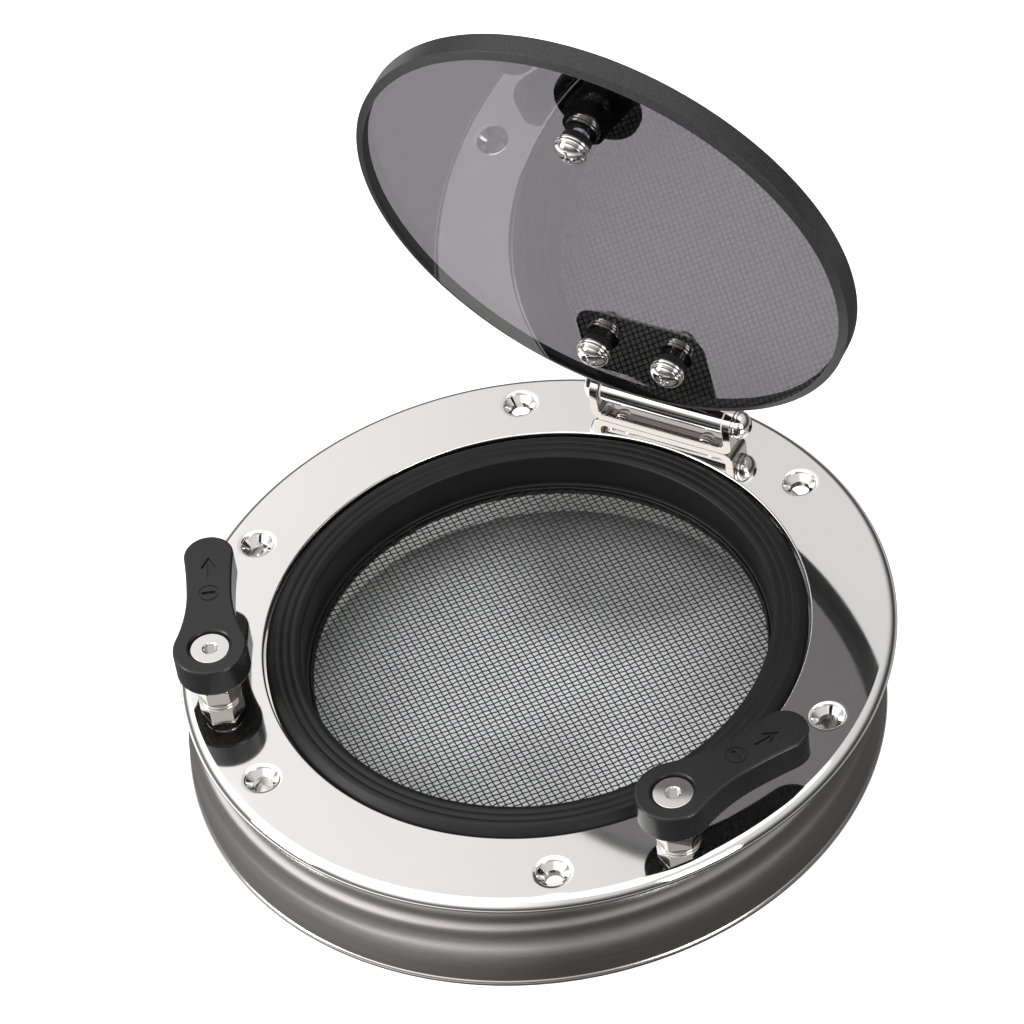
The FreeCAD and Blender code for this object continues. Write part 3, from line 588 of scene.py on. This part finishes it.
def hole_cutter():
    """A fixing hole with its countersink and softened lip."""
    top, sink, spread, soft, steps = FLANGE_TOP, 5.3, 1.65, 0.9, 8
    lip = [Vector((sink + spread * t * t, top - soft + soft * (1 - (1 - t) ** 2)))
           for t in [step / steps for step in range(steps + 1)]]
    return lathe("hole", [Vector((0, -1)), Vector((HOLE_R, -1)), Vector((HOLE_R, top - 2.9))]
                 + lip + [Vector((7.6, top + 0.02)), Vector((7.6, top + 1)), Vector((0, top + 1))],
                 MEDIUM)


def rod(name, radius, low, high, count=SMALL):
    """A plain round bar, used as a cutter."""
    return lathe(name, [Vector((0, low)), Vector((radius, low)), Vector((radius, high)),
                        Vector((0, high))], count)


def ring_side(inset):
    """The ring's wall from the neck down, set back from its outer face by inset."""
    leans = [math.radians(lean) for lean in (80, 5, 13, 0)]
    x, z = 102.4, 0.0
    run = [Vector((x - inset * math.cos(leans[0]), z - inset * math.sin(leans[0])))]
    for above, below, radius, side in zip(leans, leans[1:], (15.9, 43.5, 56.4), (-1, 1, -1)):
        x -= radius * (math.cos(below) - math.cos(above)) * side
        z += radius * (math.sin(above) - math.sin(below)) * side
        end = Vector((x - inset * math.cos(below), z - inset * math.sin(below)))
        run += sagged(run[-1], end, radius + inset * side, side, 18)[1:]
    return run


def make_ring():
    """Spun trim ring: a flat seat under the flange, an ogee wall and a beaded foot."""
    wall, seat = 1.4, 96.0
    outside, inside = ring_side(0), ring_side(wall)
    foot = outside[-1].x
    bead = sagged((foot, RING_LOW + 2.4), (foot, RING_LOW), 1.5, -1, 10)
    ring = lathe("trim_ring_shell", [Vector((seat, 0))] + outside + bead
                 + [Vector((foot - wall, RING_LOW))] + inside[::-1]
                 + [Vector((inside[0].x, -wall)), Vector((seat, -wall))], FINE * 2)
    piece(ring, "root", ["trim_ring"], SATIN, 40)
    ring.data.transform(Matrix.Translation((RING_X * MM, RING_Y * MM, 0)))
    return ring


def make_seal():
    """Seal with a sleeve in the spigot and three ribs on its face."""
    bore, first, wide, foot = 78.8, 79.9, 2.7, 6.15
    ribs = []
    for step in (2, 1, 0):
        start = first + wide * step
        ribs += sagged((start + wide, foot), (start, foot), 2.3, 1, 8)[:-1]
    profile = ([Vector((bore, SEAL_LOW)), Vector((SPIGOT_BORE, SEAL_LOW)),
                Vector((SPIGOT_BORE, SEAT_FLOOR)), Vector((SEAL_R, SEAT_FLOOR)),
                Vector((SEAL_R, 3.6))] + ribs
               + sagged((first, foot), (bore, 5.05), 1.2, 1, 6))
    return piece(lathe("seal_face", profile, FINE), "root", ["seal"], RUBBER, 50)


def make_screen_ring():
    """Ring with a ledge for the mesh."""
    bore, wall, ledge = 76.3, 77.6, -8.5
    profile = rounded([(bore, SCREEN_LOW, 0.3), (SCREEN_R, SCREEN_LOW, 0.4),
                       (SCREEN_R, SCREEN_TOP, 0.3), (wall, SCREEN_TOP, 0.4), (wall, ledge),
                       (bore, ledge, 0.2)], 4)
    return piece(lathe("screen_rim", profile, FINE), "root", ["screen_ring"],
                 SCREEN_PLASTIC, 50)


# the weave: the wire's radius, the pitch each way, and its turn about Z in degrees
WIRE_R = 0.23
WIRE_PITCH = (1.87, 2.24)
WEAVE_TURN = -40.0


def weave_line(bm, along, pitch, crossing_pitch, index, phase):
    """One wire of the weave, going over and under those that cross it."""
    offset = index * pitch
    half = math.sqrt(max(MESH_R ** 2 - offset ** 2, 0)) - 0.2
    reach = int(half / crossing_pitch * 2)
    sides = 5
    rings = []
    for step in range(-reach, reach + 1):
        place = step * crossing_pitch / 2
        height = WIRE_R * 0.95 * math.cos(math.pi * (step / 2 + index + phase))
        ring = []
        for side in range(sides):
            turn = 2 * math.pi * side / sides
            across = offset + WIRE_R * math.cos(turn)
            up = MESH_Z + height + WIRE_R * math.sin(turn)
            ring.append(bm.verts.new((across, place, up) if along else (place, across, up)))
        rings.append(ring)
    for here, there in zip(rings, rings[1:]):
        for side in range(sides):
            after = (side + 1) % sides
            bm.faces.new((here[side], here[after], there[after], there[side]))
    bm.faces.new(rings[0])
    bm.faces.new(rings[-1])


def make_mesh():
    """The woven insect screen, wire by wire."""
    bm = bmesh.new()
    for along, pitch, crossing, phase in ((True, WIRE_PITCH[0], WIRE_PITCH[1], 0),
                                          (False, WIRE_PITCH[1], WIRE_PITCH[0], 1)):
        count = int((MESH_R - 1) / pitch)
        for index in range(-count, count + 1):
            weave_line(bm, along, pitch, crossing, index, phase)
    woven = transform(make_object("woven_mesh", bm),
                      Matrix.Rotation(math.radians(WEAVE_TURN), 4, "Z"))
    return piece(woven, "root", ["screen_mesh"], WIRE, 60)


def make_spline():
    """Rubber cord pressed along the mesh's edge, a little uneven."""
    bm = bmesh.new()
    rings = []
    steps, sides = 720, 8
    for step in range(steps):
        turn = 2 * math.pi * step / steps
        swell = 0.5 + 0.09 * math.sin(turn * 37) * math.sin(turn * 91 + 1) + 0.05 * math.sin(
            turn * 143)
        path = 76.95 + 0.12 * math.sin(turn * 29 + 2)
        ring = []
        for side in range(sides):
            angle = 2 * math.pi * side / sides
            radius = path + swell * math.cos(angle)
            ring.append(bm.verts.new((radius * math.cos(turn), radius * math.sin(turn),
                                      MESH_Z + 0.85 + swell * math.sin(angle))))
        rings.append(ring)
    for here, there in zip(rings, rings[1:] + rings[:1]):
        for side in range(sides):
            after = (side + 1) % sides
            bm.faces.new((here[side], here[after], there[after], there[side]))
    return piece(make_object("spline_cord", bm), "root", ["screen_spline"],
                 RUBBER, 70)


# ---------------------------------------------------------------- hinge

def make_bracket():
    """U-shaped bracket bent from sheet, with rounded ears."""
    floor, crest, reach, bend = BRACKET_FLOOR, PIN.z + 5.5, 5.5, 2.2
    section = rounded([(-EAR_OUTER, FLANGE_TOP, 3.8), (EAR_OUTER, FLANGE_TOP, 3.8),
                       (EAR_OUTER, crest), (EAR_INNER, crest), (EAR_INNER, floor, bend),
                       (-EAR_INNER, floor, bend), (-EAR_INNER, crest), (-EAR_OUTER, crest)], 8)
    bracket = prism("bracket", section, -reach, reach)
    upright = Matrix.Translation((0, PIN.y, 0)) @ Matrix.Rotation(math.radians(90), 4, "X")
    transform(bracket, upright)
    side = rounded([(-reach, FLANGE_TOP - 1), (reach, FLANGE_TOP - 1), (reach, crest, 5.2),
                    (-reach, crest, 5.2)], 14)
    cheek = prism("cheek", side, -40, 40)
    turn = Matrix(((0, 0, 1, 0), (1, 0, 0, PIN.y), (0, 1, 0, 0), (0, 0, 0, 1)))
    combine(bracket, [transform(cheek, turn)], "INTERSECT")
    combine(bracket, [on_pin(rod("pin_hole", SHANK_BORE, -40, 40))])
    soften(bracket, 0.35, 40, 3)
    return piece(bracket, "root", ["hinge_bracket"], STEEL_PAINTED_SHADE)


def make_rivets():
    """Low domed rivets in the bracket's base."""
    low, head = BRACKET_FLOOR, 2.6
    rivets = []
    for x in (-16.0, 16.0):
        profile = [Vector((0, low - 2)), Vector((1.6, low - 2)), Vector((1.6, low))]
        profile += sagged((head, low), (0, low + 0.7), (head ** 2 + 0.49) / 1.4, 1, 8)
        rivets.append(shift(lathe("rivet", profile, SMALL), x, PIN.y - 2.4))
    return piece(join("rivet_heads", rivets), "root", ["bracket_rivets"],
                 STEEL_PAINTED_SHADE)


def dome_points(foot, low, rise, steps=10):
    """Profile of a domed cap from its rim to its crown."""
    radius = (foot * foot + rise * rise) / (2 * rise)
    return sagged((foot, low), (0, low + rise), radius, 1 if rise > 0 else -1, steps)


def make_pin_parts():
    """Pin screw with a socket in its domed head, washer, and domed nut at the other end."""
    seat = EAR_OUTER + 0.1
    under = seat + 1.0
    head_r, rim = 4.9, under + 1.2
    head = [Vector((0, -seat - 2.0)), Vector((SHANK, -seat - 2.0)), Vector((SHANK, under))]
    head += rounded_run([(SHANK, under), (head_r, under, 0.3), (head_r, rim)], 3)[1:]
    head += dome_points(head_r, rim, 3.2)[1:]
    pin = lathe("pin_screw", head, MEDIUM)
    socket = prism("socket", hexagon(3.0), under + 2.5, under + 6)
    on_pin(combine(pin, [socket]))
    piece(pin, "root", ["hinge_pin"], STEEL_HEAD)
    washer = lathe("pin_washer", rounded([(SHANK_BORE, seat), (5.2, seat, 0.2),
                                          (5.2, under, 0.2), (SHANK_BORE, under)], 3), MEDIUM)
    piece(on_pin(washer), "root", ["hinge_pin_washer"], STEEL_HEAD)
    nut = dome_nut("pin_nut", 8.0, seat, 2.0, 2.0)
    piece(on_pin(nut, flip=True), "root", ["hinge_pin_nut"], STEEL_HEAD)


def dome_nut(name, across, base, high, cap):
    """Hexagon nut with chamfered corners and a domed cap."""
    nut = prism(name, hexagon(across), base, base + high)
    rim = across * 0.585
    blank = lathe("blank", [Vector((0, base)), Vector((across * 0.53, base)),
                            Vector((rim, base + 0.5)), Vector((rim, base + high - 0.7)),
                            Vector((across * 0.5, base + high)), Vector((0, base + high))],
                  MEDIUM)
    combine(nut, [blank], "INTERSECT")
    foot = across * 0.46
    cap_profile = [Vector((0, base + high - 0.5)), Vector((foot, base + high - 0.5))]
    cap_profile += dome_points(foot, base + high, cap)
    combine(nut, [lathe("cap", cap_profile, MEDIUM)], "UNION")
    return soften(nut, 0.15, 40, 2)


def make_leaf():
    """Leaf plate with its hinge barrel."""
    half, corner = 21.5, 7.0
    outline = rounded([(half, PIN.y), (-half, PIN.y), (-half, 52.5, corner),
                       (half, 52.5, corner)], 10)
    leaf = prism("leaf", outline, LEAF_LOW, LEAF_TOP)
    barrel = on_pin(rod("barrel", BARREL_R, -BARREL_HALF, BARREL_HALF, MEDIUM))
    combine(leaf, [barrel], "UNION")
    bore = on_pin(rod("bore", BUSH_R, -30, 30))
    holes = at_lid_screws(screw_hole)
    combine(leaf, [bore] + holes)
    soften(leaf, 0.3, 50, 2)
    return piece(open_lid(leaf), "lid", ["lid_leaf"], STEEL)


def screw_hole():
    """Cutter for a screw's hole in the leaf and the pad."""
    return rod("hole", LEAF_HOLE, 0, 40)


def make_bushes():
    """Flanged bushes in both ends of the barrel."""
    inner_end, outer_end = BARREL_HALF - 7, BARREL_HALF + 0.65
    profile = [Vector((SHANK_BORE, inner_end)), Vector((BUSH_R, inner_end)),
               Vector((BUSH_R, BARREL_HALF)), Vector((BARREL_R, BARREL_HALF)),
               Vector((BARREL_R, outer_end)), Vector((SHANK_BORE, outer_end))]
    bushes = [on_pin(lathe("bush", profile, MEDIUM), flip) for flip in (False, True)]
    return piece(open_lid(join("bushes", bushes)), "lid", ["hinge_bushes"], NYLON)


# ---------------------------------------------------------------- lid

def make_glass():
    """The pane, with polished faces and a ground rim."""
    profile = [Vector((0, GLASS_LOW))]
    profile += rounded_run([(60, GLASS_LOW), (GLASS_R - BEVEL_WIDTH, GLASS_LOW, 0.25),
                            (GLASS_R, GLASS_LOW + BEVEL_DROP, 0.25),
                            (GLASS_R, GLASS_TOP - BEVEL_DROP, 0.25),
                            (GLASS_R - BEVEL_WIDTH, GLASS_TOP, 0.25), (60, GLASS_TOP)], 3)
    profile.append(Vector((0, GLASS_TOP)))
    pane = lathe("pane", profile, FINE * 2)
    places = [(-LID_SCREW_X, LID_SCREW_Y), (LID_SCREW_X, LID_SCREW_Y), (0, KNOB_Y)]
    holes = [shift(rod("hole", GLASS_HOLE, 0, 30), x - GLASS_SHIFT, y) for x, y in places]
    combine(pane, [join("holes", holes)])
    piece(pane, "lid", ["glass"], GLASS)
    pane.data.materials.append(GLASS_RIM)
    edge = (GLASS_R - BEVEL_WIDTH + 0.1) * MM
    for face in pane.data.polygons:
        centre = face.center
        if math.hypot(centre.x, centre.y) > edge:
            face.material_index = 1
    return open_lid(shift(pane, GLASS_SHIFT))


def make_pad():
    """Rubber pad between glass and leaf."""
    outline = rounded([(24.0, 82.4), (-24.0, 82.4), (-24.0, 50.5, 8.0), (24.0, 50.5, 8.0)], 12)
    pad = prism("pad", outline, GLASS_TOP, LEAF_LOW, 0.3, 3)
    holes = at_lid_screws(screw_hole)
    combine(pad, holes)
    return piece(open_lid(pad), "lid", ["hinge_pad"], RUBBER)


GASKET_LOW = GLASS_LOW - 2.8
WASHER_LOW = GASKET_LOW - 2.4
GASKET_R = 5.2


def cross_screw(name, shank_end):
    """Screw under the glass with a domed head and a cross recess."""
    crown, head_r, rim = WASHER_LOW - 3.4, 5.2, WASHER_LOW - 1.1
    profile = [Vector((0, shank_end)), Vector((SHANK, shank_end)), Vector((SHANK, WASHER_LOW))]
    profile += rounded_run([(SHANK, WASHER_LOW), (head_r, WASHER_LOW, 0.25),
                            (head_r, rim)], 3)[1:]
    profile += dome_points(head_r, rim, -2.3)[1:]
    screw = lathe(name, profile, MEDIUM)
    arms = []
    for half_x, half_y in ((2.9, 0.65), (0.65, 2.9)):
        outline = [Vector((half_x, half_y)), Vector((-half_x, half_y)),
                   Vector((-half_x, -half_y)), Vector((half_x, -half_y))]
        arms.append(prism("arm", outline, crown - 1, crown + 1.3))
    arms.append(rod("well", 1.25, crown - 1, crown + 1.7))
    combine(screw, arms)
    return soften(screw, 0.12, 40, 2)


def ring_washer(name, outer, low, high, edge=0.2):
    """Flat washer with softened rims."""
    return lathe(name, rounded([(SHANK_BORE, low), (outer, low, edge), (outer, high, edge),
                                (SHANK_BORE, high)], 3), MEDIUM)


def cup_washer(name):
    """Thick washer under a screw's head, stepped like two rings."""
    middle, outer, waist = (WASHER_LOW + GASKET_LOW) / 2, 5.9, 5.5
    return lathe(name, rounded([(SHANK_BORE, WASHER_LOW), (outer, WASHER_LOW, 0.3),
                                (outer, middle, 0.3), (waist, middle), (outer, middle, 0.3),
                                (outer, GASKET_LOW, 0.3), (SHANK_BORE, GASKET_LOW)], 3), MEDIUM)


def make_lid_fasteners():
    """Screws, washers, gaskets and dome nuts that hold the leaf."""
    screws = at_lid_screws(lambda: cross_screw("screw", LEAF_TOP + 2.6))
    piece(open_lid(join("leaf_screws", screws)), "lid", ["lid_hinge_screws"],
          STEEL_HEAD)
    washers = at_lid_screws(lambda: cup_washer("washer"))
    piece(open_lid(join("leaf_washers", washers)), "lid", ["lid_hinge_washers"],
          STEEL_HEAD)
    gaskets = at_lid_screws(lambda: ring_washer("gasket", GASKET_R, GASKET_LOW, GLASS_LOW))
    piece(open_lid(join("leaf_gaskets", gaskets)), "lid", ["lid_hinge_gaskets"],
          RUBBER)
    nuts = at_lid_screws(lambda: dome_nut("nut", 9.0, LEAF_TOP, 2.6, 2.6))
    piece(open_lid(join("leaf_nuts", nuts)), "lid", ["lid_hinge_nuts"],
          STEEL_HEAD)


def make_knob():
    """Pull knob with its screw, washer and gasket."""
    stem = GLASS_TOP + 7.6
    top = stem + 7.4
    profile = [Vector((0, GLASS_TOP)), Vector((7.4, GLASS_TOP))]
    profile += sagged((7.4, GLASS_TOP + 0.2), (6.6, stem - 0.6), 40.0, -1, 10)
    profile += rounded_run([(7.0, stem), (15.0, stem, 2.4), (15.0, top - 0.8, 2.4),
                            (12.6, top - 0.8)], 8)
    profile += dome_points(12.6, top - 0.8, 0.8)[1:]
    knob = shift(lathe("pull_knob", profile, FINE), 0, KNOB_Y)
    piece(open_lid(knob), "lid", ["knob"], LEVER)
    screw = shift(cross_screw("knob_bolt", GLASS_TOP + 0.5), 0, KNOB_Y)
    piece(open_lid(screw), "lid", ["knob_screw"], STEEL_HEAD)
    washer = shift(cup_washer("knob_seat"), 0, KNOB_Y)
    piece(open_lid(washer), "lid", ["knob_washer"], STEEL_HEAD)
    gasket = shift(ring_washer("knob_seal", GASKET_R, GASKET_LOW, GLASS_LOW), 0, KNOB_Y)
    piece(open_lid(gasket), "lid", ["knob_gasket"], RUBBER)


# ---------------------------------------------------------------- dogs

LEVER_HUB = 12.4
LEVER_TIP = 8.4
LEVER_REACH = 42.2
LEVER_WAIST = 7.6


def lever_outline():
    """Dog-bone outline: hub at the origin, tip along +Y, waist between them."""
    middle = LEVER_REACH * 0.6
    hub_run = waist_arc(LEVER_HUB, middle)
    tip_run = waist_arc(LEVER_TIP, LEVER_REACH - middle)
    right = [Vector((x, y)) for x, y in hub_run]
    right += [Vector((x, LEVER_REACH - y)) for x, y in reversed(tip_run)][1:]
    left = [Vector((-p.x, p.y)) for p in reversed(right)]
    tip = round_end(Vector((0, LEVER_REACH)), LEVER_TIP, right[-1])
    hub = round_end(Vector((0, 0)), LEVER_HUB, left[-1])
    return right + tip + left + hub


def waist_arc(end, run, steps=18):
    """Arc from where it leaves a round end of that radius to the waist, run further on."""
    radius = (LEVER_WAIST ** 2 + run ** 2 - end ** 2) / (2 * (end - LEVER_WAIST))
    centre = Vector((LEVER_WAIST + radius, run))
    touch = centre * (end / (end + radius))
    return [(p.x, p.y) for p in arc(centre, touch, Vector((LEVER_WAIST, run)), steps)]


def round_end(centre, radius, touch, steps=36):
    """The rest of a round end, from the tangent point anticlockwise to its mirror image."""
    start = math.atan2(touch.y - centre.y, touch.x - centre.x)
    turn = (math.pi - 2 * start) % (2 * math.pi)
    angles = [start + turn * step / steps for step in range(1, steps)]
    return [centre + Vector((math.cos(a), math.sin(a))) * radius for a in angles]


def mark_cutters():
    """Cutters for the generic arrow and the ring with a bar."""
    low, high = LEVER_TOP - 0.6, LEVER_TOP + 1
    tip = LEVER_REACH - 1.5
    head = [Vector(p) for p in ((0, tip), (-2.7, tip - 4.8), (-1.8, tip - 5.3),
                                (-0.45, tip - 2.7), (-0.45, tip - 9.5), (0.45, tip - 9.5),
                                (0.45, tip - 2.7), (1.8, tip - 5.3), (2.7, tip - 4.8))]
    middle = LEVER_REACH - 18.0
    band = lathe("band", [Vector((3.1, low + 0.3)), Vector((3.5, low + 0.3)),
                          Vector((3.5, high)), Vector((3.1, high))], MEDIUM)
    bar = rounded([(2.3, middle + 0.7, 0.3), (-2.3, middle + 0.7, 0.3),
                   (-2.3, middle - 0.7, 0.3), (2.3, middle - 0.7, 0.3)], 3)
    return [prism("arrow", head, low, high), shift(band, 0, middle), prism("bar", bar, low, high)]


def make_lever(side):
    """Moulded lever with its screw seat and marks."""
    lever = prism("lever_" + side, lever_outline(), LEVER_LOW, LEVER_TOP, 0.9, 6)
    seat = lathe("seat", [Vector((0, LEVER_LOW - 1)), Vector((LEVER_BORE, LEVER_LOW - 1)),
                          Vector((LEVER_BORE, LEVER_LOW + 3)),
                          Vector((LEVER_BORE, HEAD_TOP - 3.9)),
                          Vector((3.1, HEAD_TOP - 3.9)), Vector((3.1, HEAD_TOP - 3.4)),
                          Vector((6.6, HEAD_TOP - 0.5)), Vector((6.9, HEAD_TOP - 0.5)),
                          Vector((7.1, HEAD_TOP)), Vector((7.2, LEVER_TOP - 0.4)),
                          Vector((7.7, LEVER_TOP + 0.02)), Vector((7.7, LEVER_TOP + 1)),
                          Vector((0, LEVER_TOP + 1))], MEDIUM)
    combine(lever, [seat] + mark_cutters())
    transform(lever, lever_place(side))
    return piece(lever, side + "_dog", ["dog_lever_" + side], LEVER, 36)


def make_dog_screw(side):
    """Flat-head socket screw."""
    profile = [Vector((0, HEAD_TOP - 9)), Vector((3.0, HEAD_TOP - 9)),
               Vector((3.0, HEAD_TOP - 3.3))]
    profile += rounded_run([(3.0, HEAD_TOP - 3.3), (6.5, HEAD_TOP - 0.3), (6.5, HEAD_TOP, 0.2),
                            (2.6, HEAD_TOP)], 3)[1:]
    profile.append(Vector((0, HEAD_TOP)))
    screw = lathe("cap_screw_" + side, profile, MEDIUM)
    socket = prism("socket", hexagon(4.2), HEAD_TOP - 2.8, HEAD_TOP + 1)
    cone = lathe("cone", [Vector((0, HEAD_TOP - 0.5)), Vector((2.1, HEAD_TOP - 0.45)),
                          Vector((2.7, HEAD_TOP + 0.05)), Vector((0, HEAD_TOP + 0.05))], SMALL)
    combine(screw, [socket, cone])
    transform(screw, lever_place(side))
    return piece(screw, side + "_dog", ["dog_screw_" + side], STEEL_HEAD)


def stud_nut(name, low, high):
    """Hexagon nut on the stud, with chamfered corners."""
    nut = prism(name, hexagon(13.0), low, high)
    blank = lathe("blank", [Vector((4.02, low)), Vector((6.35, low)), Vector((7.6, low + 0.75)),
                            Vector((7.6, high - 0.75)), Vector((6.35, high)),
                            Vector((4.02, high))], MEDIUM)
    combine(nut, [blank], "INTERSECT")
    return soften(nut, 0.25, 40, 3)


def make_stud_parts(side):
    """Stud, washer and two nuts on the flange, and the collar under the lever."""
    journal = HEAD_TOP - 4.2
    stud = lathe("stud_" + side, [
        Vector((0, 0.2)), Vector((3.4, 0.2)), Vector((STUD_R, 0.8)),
        Vector((STUD_R, LOCK_NUT_TOP)), Vector((JOURNAL_R, LOCK_NUT_TOP)),
        Vector((JOURNAL_R, journal)), Vector((0, journal))], MEDIUM)
    transform(stud, dog_place(side))
    piece(stud, "root", ["dog_stud_" + side], STEEL_HEAD)
    for label, low, high in (("dog_nut_", WASHER_TOP, NUT_TOP),
                             ("dog_lock_nut_", NUT_TOP, LOCK_NUT_TOP)):
        nut = transform(stud_nut(label + "hex_" + side, low, high), dog_place(side, NUT_TURN))
        piece(nut, "root", [label + side], STEEL_PAINTED_SHADE)
    outline = rounded([(STUD_BORE, FLANGE_TOP), (7.2, FLANGE_TOP, 0.3),
                       (7.2, WASHER_TOP, 0.3), (STUD_BORE, WASHER_TOP)], 3)
    washer = lathe("washer_" + side, outline, MEDIUM)
    transform(washer, dog_place(side))
    piece(washer, "root", ["dog_washer_" + side], STEEL_PAINTED_SHADE)
    low = LOCK_NUT_TOP + 0.3
    outline = rounded([(LEVER_BORE, low), (6.6, low, 0.2),
                       (6.6, LEVER_LOW, 0.2), (LEVER_BORE, LEVER_LOW)], 3)
    collar = lathe("collar_" + side, outline, MEDIUM)
    transform(collar, lever_place(side))
    piece(collar, side + "_dog", ["dog_bush_" + side], STEEL_HEAD)


# ---------------------------------------------------------------- studio

CAMERA_PLACE = (0.6596, -0.9927, 1.2664)
CAMERA_TURN = (44.31, 6.36, 27.21)
CAMERA_LENS = 183.5


def make_camera():
    """A long lens, high on the near right, rolled a little."""
    camera = bpy.data.objects.new("camera", bpy.data.cameras.new("camera"))
    camera.data.lens = CAMERA_LENS
    camera.data.sensor_width = 36
    camera.location = CAMERA_PLACE
    camera.rotation_euler = [math.radians(turn) for turn in CAMERA_TURN]
    bpy.context.scene.collection.objects.link(camera)
    bpy.context.scene.camera = camera


def make_floor():
    """A wide pale floor that glows a little and that mirrors don't see, and a grey disc on it
    inside the trim ring: painted shade, mottled with painted patches of light, that gives the tone
    of the shaded floor behind the screen. Both are stage only."""
    bm = bmesh.new()
    bmesh.ops.create_grid(bm, x_segments=1, y_segments=1, size=60000)
    floor = shift(make_object("floor", bm), 0, 0, RING_LOW - 0.05)
    n = Nodes("floor")
    n.set(Base_Color=(0.9, 0.9, 0.9, 1), Roughness=0.9, Emission_Color=(1, 1, 1, 1),
          Emission_Strength=0.5)
    floor.data.materials.append(n.material)
    floor.visible_glossy = False
    # painted shade: a grey disc laid inside the trim ring, where the floor is only in shade
    painted_shade_disc = shift(lathe("painted_shade_disc", [Vector((0, -0.04)), Vector((114, -0.04)), Vector((114, -0.02)),
                                  Vector((0, -0.02))], MEDIUM), RING_X, RING_Y, RING_LOW)
    shade = Nodes("painted_shade_disc")
    # painted light and shade: noise patches from mid grey to near white stand in for the shade
    # under the ring and the light falling through the screen
    painted_light_patches = shade.noise(13.0, 1.0, 0.4)
    shade.set(Base_Color=shade.ramp(painted_light_patches, [(0.36, 0.50), (0.62, 0.95)]), Roughness=0.9)
    painted_shade_disc.data.materials.append(shade.material)


def add_light(name, place, target, size, power):
    """A soft area light that points at a target."""
    light = bpy.data.objects.new(name, bpy.data.lights.new(name, "AREA"))
    light.data.shape = "RECTANGLE"
    light.data.size, light.data.size_y = size
    light.data.energy = power
    light.location = place
    aim = Vector(target) - Vector(place)
    light.rotation_euler = aim.to_track_quat("-Z", "Y").to_euler()
    bpy.context.scene.collection.objects.link(light)


def make_studio():
    """Bright overhead, dark at the horizon, a pale band below it, brighter from the left, with
    one light above and two soft boxes."""
    world = bpy.data.worlds.new("studio")
    world.use_nodes = True
    tree = world.node_tree
    coords = tree.nodes.new("ShaderNodeTexCoord")
    split = tree.nodes.new("ShaderNodeSeparateXYZ")
    ramp = tree.nodes.new("ShaderNodeValToRGB")
    tree.links.new(coords.outputs["Generated"], split.inputs["Vector"])
    height = tree.nodes.new("ShaderNodeMath")
    height.operation = "MULTIPLY_ADD"
    height.inputs[1].default_value = 0.5
    height.inputs[2].default_value = 0.5
    tree.links.new(split.outputs["Z"], height.inputs[0])
    tree.links.new(height.outputs[0], ramp.inputs["Fac"])
    stops = ((0.0, 0.10), (0.245, 0.14), (0.29, 0.75), (0.37, 0.62), (0.45, 0.12), (0.56, 0.07),
             (0.66, 0.4), (0.76, 0.95), (0.86, 1.1))
    fill_ramp(ramp.color_ramp, stops)
    tree.links.new(ramp.outputs["Color"], tree.nodes["Background"].inputs["Color"])
    side = tree.nodes.new("ShaderNodeVectorMath")
    side.operation = "DOT_PRODUCT"
    side.inputs[1].default_value = (-0.87, -0.5, 0)
    tree.links.new(coords.outputs["Generated"], side.inputs[0])
    swell = tree.nodes.new("ShaderNodeMapRange")
    for name, value in (("From Min", 0.0), ("From Max", 0.8), ("To Min", 0.85), ("To Max", 2.7)):
        swell.inputs[name].default_value = value
    tree.links.new(side.outputs["Value"], swell.inputs["Value"])
    tree.links.new(swell.outputs["Result"], tree.nodes["Background"].inputs["Strength"])
    bpy.context.scene.world = world
    bpy.context.scene.view_settings.view_transform = "Standard"
    add_light("key", (0.2, 0, 1.9), (0.2, 0, 0), (2.2, 2.2), 17)
    add_light("box_left", (-1.0, -0.9, 0.5), (0, 0, 0.0), (0.5, 0.7), 12)
    add_light("box_right", (1.2, -0.5, 0.45), (0, 0, 0.0), (0.5, 0.6), 10)


# ---------------------------------------------------------------- all together

make_camera()
make_studio()
make_floor()
make_flange()
make_ring()
make_seal()
make_screen_ring()
make_mesh()
make_spline()
make_bracket()
make_rivets()
make_pin_parts()
make_leaf()
make_bushes()
make_glass()
make_pad()
make_lid_fasteners()
make_knob()
for dog_side in DOG_SWINGS:
    make_lever(dog_side)
    make_dog_screw(dog_side)
    make_stud_parts(dog_side)
